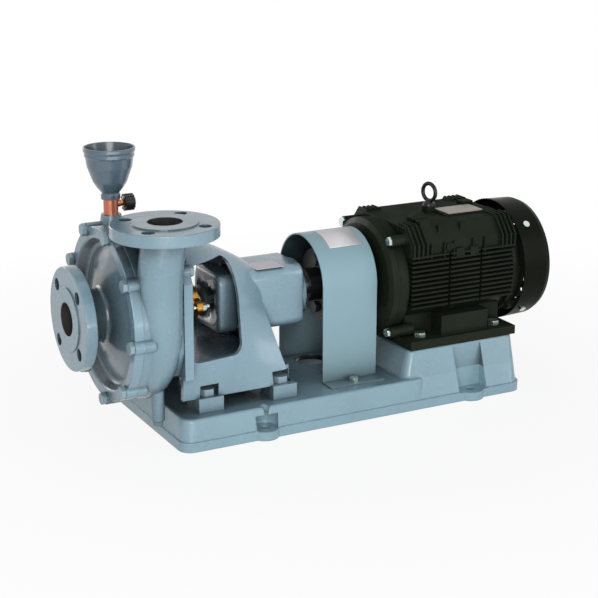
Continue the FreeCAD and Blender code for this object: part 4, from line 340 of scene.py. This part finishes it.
bright_steel = machined_metal("bright_steel", srgb(168, 172, 176), rough=0.28)
zinc_steel = machined_metal("zinc_steel", srgb(196, 212, 206), rough=0.27, lines=(40.0, 40.0, 40.0))
black_steel = machined_metal("black_steel", srgb(34, 36, 34), rough=0.4, lines=(30.0, 30.0, 30.0),
                             depth=0.0001, metallic=0.6)
bare_iron = machined_metal("bare_iron", srgb(64, 65, 68), rough=0.42, lines=(1.0, 80.0, 80.0), depth=0.0001)
bronze = machined_metal("bronze", srgb(196, 142, 64), rough=0.32, lines=(1.0, 70.0, 70.0), depth=0.00008)
brass = machined_metal("brass", srgb(206, 158, 74), rough=0.25, lines=(60.0, 8.0, 8.0))
copper = machined_metal("copper_pipe", srgb(190, 118, 94), rough=0.36, lines=(30.0, 30.0, 6.0),
                        depth=0.0001, metallic=0.85)

black_rubber = plain_finish("black_rubber", srgb(32, 32, 33), rough=0.6)
gasket_board = plain_finish("gasket_board", srgb(74, 80, 84), rough=0.7)
knob_plastic = plain_finish("knob_plastic", srgb(26, 26, 26), rough=0.3)
fan_plastic = plain_finish("fan_plastic", srgb(28, 30, 29), rough=0.45)
copper_wire = plain_finish("copper_wire", srgb(150, 84, 48), rough=0.35, grain_scale=900.0, grain=0.6,
                           depth=0.0006)
packing_braid = plain_finish("packing_braid", srgb(92, 88, 80), rough=0.75, grain_scale=700.0, grain=0.6,
                             depth=0.0006)
plate_metal = plain_finish("plate_metal", srgb(156, 146, 134), rough=0.38, grain_scale=260.0, grain=0.15,
                           depth=0.0001, vary=0.04)
label_film = plain_finish("label_film", srgb(226, 222, 224), rough=0.4, grain_scale=240.0, grain=0.12,
                          depth=0.0001, vary=0.03)
barrel_film = plain_finish("barrel_film", srgb(214, 208, 216), rough=0.4, grain_scale=240.0, grain=0.12,
                           depth=0.0001, vary=0.04)

BY_SLOT = {
    "pump_paint": pump_paint,
    "motor_paint": motor_paint,
    "bright_steel": bright_steel,
    "zinc_steel": zinc_steel,
    "bare_iron": bare_iron,
    "gasket": gasket_board,
    "bronze": bronze,
    "packing": packing_braid,
    "black_rubber": black_rubber,
    "black_steel": black_steel,
    "guard_paint": guard_paint,
    "copper_wire": copper_wire,
    "fan_plastic": fan_plastic,
    "plate_metal": plate_metal,
    "funnel_paint": funnel_paint,
    "copper_pipe": copper,
    "brass": brass,
    "knob_plastic": knob_plastic,
}
# nodes whose finish differs from the rest of their slot
BY_NODE = {
    "bedplate": deck_paint,
    "suction_cover": cover_paint,
    "volute_casing": casing_paint,
    "cover_gasket": bolt_paint,
    "drive_end_shield": shield_paint,
    "fan_cowl": cowl_paint,
    "cover_bolts": bolt_paint,
    "bracket_bolts": bolt_paint,
    "pump_foot_bolts": bolt_paint,
    "coupling_pins": black_steel,
}


def finish_nodes():
    """Gives every CAD node its material."""
    slot_of = {entry["node"]: entry["material_slot"] for entry in frame["record"]["subparts"]}
    for name, item in nodes.items():
        look = BY_NODE.get(name, BY_SLOT[slot_of[name]])
        if not item.data.materials:
            item.data.materials.append(look)
        for index in range(len(item.data.materials)):
            item.data.materials[index] = look


# Pieces that only the looks hold

def mesh_piece(name, verts, faces, material, smooth=True):
    """A mesh that rides on the fixed body and takes the finish it is given."""
    mesh = bpy.data.meshes.new(name)
    mesh.from_pydata(verts, [], faces)
    mesh.update()
    for polygon in mesh.polygons:
        polygon.use_smooth = smooth
    piece = bpy.data.objects.new(name, mesh)
    bpy.context.scene.collection.objects.link(piece)
    piece.data.materials.append(material)
    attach(piece, "base")
    return piece


def curved_plate(name, x_span, radius, centre_z, turn, thick, material):
    """A blank film on a round surface about a line along X; turn holds its angles from the top."""
    steps = 28
    start, end = turn
    verts, faces = [], []
    for k in range(steps + 1):
        angle = math.radians(start + (end - start) * k / steps)
        for r in (radius, radius + thick):
            for x in x_span:
                verts.append((x, r * math.sin(angle), centre_z + r * math.cos(angle)))
    for i in range(0, 4 * steps, 4):
        j = i + 4
        faces += [(i + 2, j + 2, j + 3, i + 3), (i, i + 1, j + 1, j),
                  (i, j, j + 2, i + 2), (i + 1, i + 3, j + 3, j + 1)]
    last = 4 * steps
    faces += [(0, 2, 3, 1), (last, last + 1, last + 3, last + 2)]
    return mesh_piece(name, verts, faces, material)


def skin_over(name, rings, material, closed=False, smooth=True):
    """Skin over rings of equally many points; closed joins the last ring to the first, else flat ends."""
    count = len(rings[0])
    verts = [point for ring in rings for point in ring]
    faces = []
    for k in range(len(rings) if closed else len(rings) - 1):
        here = k * count
        there = ((k + 1) % len(rings)) * count
        for i in range(count):
            j = (i + 1) % count
            faces.append((here + i, here + j, there + j, there + i))
    if not closed:
        last = (len(rings) - 1) * count
        faces.append(tuple(reversed(range(count))))
        faces.append(tuple(range(last, last + count)))
    return mesh_piece(name, verts, faces, material, smooth)


def square_ring(x, half, corner):
    """Rounded square about the shaft line; corner equal to half gives a circle."""
    steps = 8
    ring = []
    for quarter in range(4):
        middle = math.radians(45 + 90 * quarter)
        cy = (half - corner) * (1 if math.cos(middle) > 0 else -1)
        cz = (half - corner) * (1 if math.sin(middle) > 0 else -1)
        for k in range(steps + 1):
            angle = math.radians(90 * quarter + 90 * k / steps)
            ring.append((x, cy + corner * math.cos(angle), SHAFT_Z + cz + corner * math.sin(angle)))
    return ring


def cast_block(name, low, high, material, edge, taper=0.0):
    """Cast lug with broken edges; taper draws the top in."""
    (x0, y0, z0), (x1, y1, z1) = low, high

    def rim(z, inset):
        a, b, c, d = x0 + inset, x1 - inset, y0 + inset, y1 - inset
        return [(a + edge, c, z), (b - edge, c, z), (b, c + edge, z), (b, d - edge, z),
                (b - edge, d, z), (a + edge, d, z), (a, d - edge, z), (a, c + edge, z)]

    rings = [rim(z0, 0.0), rim(z1 - edge, taper), rim(z1, taper + edge)]
    return skin_over(name, rings, material, smooth=False)


def bored_pad(name, centre, half, low, high, bore, depth, material):
    """Square pad with broken edges and a round blind hole in its top."""
    cx, cy = centre
    edge = 0.001
    count = 24
    angles = [2 * math.pi * i / count for i in range(count)]

    def square(z, reach):
        ring = []
        for angle in angles:
            k = reach / max(abs(math.cos(angle)), abs(math.sin(angle)))
            ring.append((cx + k * math.cos(angle), cy + k * math.sin(angle), z))
        return ring

    def circle(z, radius):
        return [(cx + radius * math.cos(angle), cy + radius * math.sin(angle), z) for angle in angles]

    rings = [square(low, half), square(high - edge, half), square(high, half - edge), circle(high, bore),
             circle(high - depth, bore), circle(high - depth, bore * 0.1)]
    return skin_over(name, rings, material, smooth=False)


def bearing_case(name, start, end, half, corner, inner, dish):
    """Rounded square case round the bearings, from one station to another, with a round dish in front.

    half is half its width, corner its corner radius, inner the radius of its opening.
    """
    edge = 0.0025
    front, back = station(start), station(end)
    # the front corner's profile, each a depth behind the face and how far in it lies
    corner_profile = [(0.4 * edge, edge), (edge, 0.3 * edge), (2 * edge, 0.0)]
    rings = [
        square_ring(front + dish, inner, inner),
        square_ring(front + dish, inner + 0.007, inner + 0.007),
        square_ring(front, inner + 0.009, inner + 0.009),
        square_ring(front, half - 2 * edge, corner - edge),
    ]
    rings += [square_ring(front + depth, half - inset, corner) for depth, inset in corner_profile]
    rings += [square_ring(back - depth, half - inset, corner) for depth, inset in reversed(corner_profile)]
    rings += [square_ring(back, half - 2 * edge, corner - edge), square_ring(back, inner, inner)]
    return skin_over(name, rings, pump_paint, closed=True)


def dress_bearings():
    """The case's nose stands in the lantern, and its body lies behind the lantern's wall."""
    nose = bearing_case("bearing_nose", 223, 256, half=0.0455, corner=0.014, inner=0.0205, dish=0.004)
    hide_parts("front_bearing_cover")
    bearing_case("bearing_body", 262, 366.5, half=0.0482, corner=0.016, inner=0.0385, dish=0.0)


def add_labels():
    """Blank films where such a set carries its printed labels."""
    curved_plate("guard_label", (station(411), station(467)), radius=0.0741, centre_z=SHAFT_Z + 0.009,
                 turn=(-38.0, 6.0), thick=0.0004, material=label_film)
    film_low, film_high = SHAFT_Z + 0.0481, SHAFT_Z + 0.0486
    cast_block("barrel_label", (station(287), -0.043, film_low), (station(333), -0.003, film_high),
               barrel_film, edge=0.0001)


def add_shoulder_details():
    """Cast pads, lugs and ribs on the motor's near shoulder."""
    root_y, rib_y, box_y = -0.088, -0.0965, -0.098
    foot_z = 0.231
    bored_pad("shoulder_pad_front", (0.121, -0.048), half=0.012, low=0.272, high=0.2895, bore=0.003,
              depth=0.006, material=motor_paint)
    for index, x in enumerate((0.1385, 0.1795)):
        cast_block(f"shoulder_lug_{index}", (x, -0.083, 0.255), (x + 0.011, -0.070, 0.2795),
                   motor_paint, edge=0.001, taper=0.0008)
    for index, x in enumerate((0.118, 0.142, 0.160, 0.196, 0.218)):
        cast_block(f"shoulder_rib_{index}", (x, rib_y, foot_z), (x + 0.0028, root_y, 0.2555),
                   motor_paint, edge=0.0006)
    for index, x in enumerate((0.1645, 0.1905)):
        cast_block(f"shoulder_box_{index}", (x, box_y, foot_z), (x + 0.016, root_y, 0.243),
                   motor_paint, edge=0.001, taper=0.0006)
    cast_block("shoulder_box_2", (0.147, rib_y, 0.243), (0.161, root_y, 0.2525),
               motor_paint, edge=0.001, taper=0.0006)


# Floor, light and camera

FLOOR_HALF = 30.0
# distances from the origin between which the floor's shadow fades out, and the white it starts from
FADE_START, FADE_END, FADE_WHITE = 0.35, 1.1, 0.9
# the middle of the floor, under the bedplate, stays dark so that its openings look deep
DARK_REACH, DARK_END = 0.085, 0.12


def backdrop_share(tree, amount):
    """Share of white for the rays that see the backdrop: camera, glossy and transmission rays."""
    path = tree.nodes.new("ShaderNodeLightPath")
    seen = path.outputs["Is Camera Ray"]
    for name in ("Is Glossy Ray", "Is Transmission Ray"):
        seen = math_node(tree, "MAXIMUM", seen, path.outputs[name])
    return math_node(tree, "MULTIPLY", seen, amount)


def blend_shaders(tree, share, one, two, out):
    mix = tree.nodes.new("ShaderNodeMixShader")
    tree.links.new(share, mix.inputs["Fac"])
    tree.links.new(one, mix.inputs[1])
    tree.links.new(two, mix.inputs[2])
    tree.links.new(mix.outputs["Shader"], out.inputs["Surface"])


def make_floor():
    mesh = bpy.data.meshes.new("floor")
    side = FLOOR_HALF
    corners = [(-side, -side, 0), (side, -side, 0), (side, side, 0), (-side, side, 0)]
    mesh.from_pydata(corners, [], [(0, 1, 2, 3)])
    floor = bpy.data.objects.new("floor", mesh)
    bpy.context.scene.collection.objects.link(floor)
    material = bpy.data.materials.new("floor_white")
    material.use_nodes = True
    tree = material.node_tree
    tree.nodes.clear()
    out = tree.nodes.new("ShaderNodeOutputMaterial")
    diffuse = tree.nodes.new("ShaderNodeBsdfDiffuse")
    diffuse.inputs["Color"].default_value = grey(0.8)
    glow = tree.nodes.new("ShaderNodeEmission")
    glow.inputs["Strength"].default_value = 1.0
    away = vector_node(tree, "LENGTH", object_place(tree))
    fade = map_range(tree, away, FADE_START, FADE_END, FADE_WHITE, 1.0)
    uncovered = map_range(tree, away, DARK_REACH, DARK_END, 0.0, 1.0)
    white = backdrop_share(tree, math_node(tree, "MULTIPLY", fade, uncovered))
    blend_shaders(tree, white, diffuse.outputs["BSDF"], glow.outputs["Emission"], out)
    floor.data.materials.append(material)


def make_world():
    world = bpy.data.worlds.new("studio")
    bpy.context.scene.world = world
    world.use_nodes = True
    tree = world.node_tree
    tree.nodes.clear()
    out = tree.nodes.new("ShaderNodeOutputWorld")
    soft = tree.nodes.new("ShaderNodeBackground")
    soft.inputs["Color"].default_value = (0.88, 0.94, 1.0, 1.0)
    soft.inputs["Strength"].default_value = 0.2
    white = tree.nodes.new("ShaderNodeBackground")
    white.inputs["Color"].default_value = grey(1.0)
    white.inputs["Strength"].default_value = 1.0
    blend_shaders(tree, backdrop_share(tree, 1.0), soft.outputs["Background"],
                  white.outputs["Background"], out)


def area_light(name, place, target, size, watts, colour=(1.0, 1.0, 1.0)):
    """A rectangular lamp at a place that shines at a target."""
    data = bpy.data.lights.new(name, "AREA")
    data.shape = "RECTANGLE"
    data.size, data.size_y = size
    data.energy = watts
    data.color = colour
    lamp = bpy.data.objects.new(name, data)
    bpy.context.scene.collection.objects.link(lamp)
    lamp.location = place
    aim = Vector(target) - Vector(place)
    lamp.rotation_euler = aim.to_track_quat("-Z", "Y").to_euler()


def light_studio():
    area_light("key", (-1.5, -2.4, 0.8), (-0.05, 0.0, 0.1), (1.3, 1.4), 40.0, (1.0, 0.985, 0.96))
    area_light("low", (-0.3, -1.9, 0.12), (0.0, 0.0, 0.02), (2.2, 0.2), 7.5, (1.0, 0.99, 0.97))
    area_light("spark", (-1.0, -2.2, 1.5), (0.0, 0.0, 0.15), (0.18, 0.18), 7.5)
    area_light("side", (1.9, -1.7, 0.9), (0.05, 0.0, 0.15), (0.9, 1.4), 11.0, (0.95, 0.98, 1.0))
    area_light("back", (-0.9, 2.3, 0.6), (0.0, 0.0, 0.15), (1.0, 0.8), 8.0)
    area_light("top", (0.0, 0.3, 2.4), (0.0, 0.0, 0.1), (2.0, 1.2), 5.0)


# The photograph's camera, fitted to the standard flanges and motor feet: angles in radians, the
# focal length in pixels of the 598 pixel frame
CAMERA_PLACE = (-1.148034, -2.043828, 0.859192)
CAMERA_AZIMUTH, CAMERA_ELEVATION, CAMERA_ROLL = 0.487742, 0.290987, 0.0023035
FOCAL_PIXELS, FRAME_PIXELS = 1539.63, 598.0
SENSOR_MM = 36.0


def make_camera():
    level = math.cos(CAMERA_ELEVATION)
    view = Vector((math.sin(CAMERA_AZIMUTH) * level, math.cos(CAMERA_AZIMUTH) * level,
                   -math.sin(CAMERA_ELEVATION)))
    right = Vector((math.cos(CAMERA_AZIMUTH), -math.sin(CAMERA_AZIMUTH), 0.0))
    up = right.cross(view)
    turned_right = right * math.cos(CAMERA_ROLL) + up * math.sin(CAMERA_ROLL)
    turned_up = up * math.cos(CAMERA_ROLL) - right * math.sin(CAMERA_ROLL)
    data = bpy.data.cameras.new("camera")
    data.sensor_fit = "HORIZONTAL"
    data.sensor_width = SENSOR_MM
    data.lens = FOCAL_PIXELS / FRAME_PIXELS * SENSOR_MM
    data.clip_end = 2 * FLOOR_HALF
    camera = bpy.data.objects.new("camera", data)
    bpy.context.scene.collection.objects.link(camera)
    matrix = Matrix((turned_right, turned_up, -view)).transposed().to_4x4()
    matrix.translation = Vector(CAMERA_PLACE)
    camera.matrix_world = matrix
    bpy.context.scene.camera = camera


finish_nodes()
dress_bearings()
add_labels()
add_shoulder_details()
make_floor()
make_world()
light_studio()
make_camera()
bpy.context.scene.view_settings.view_transform = "Standard"
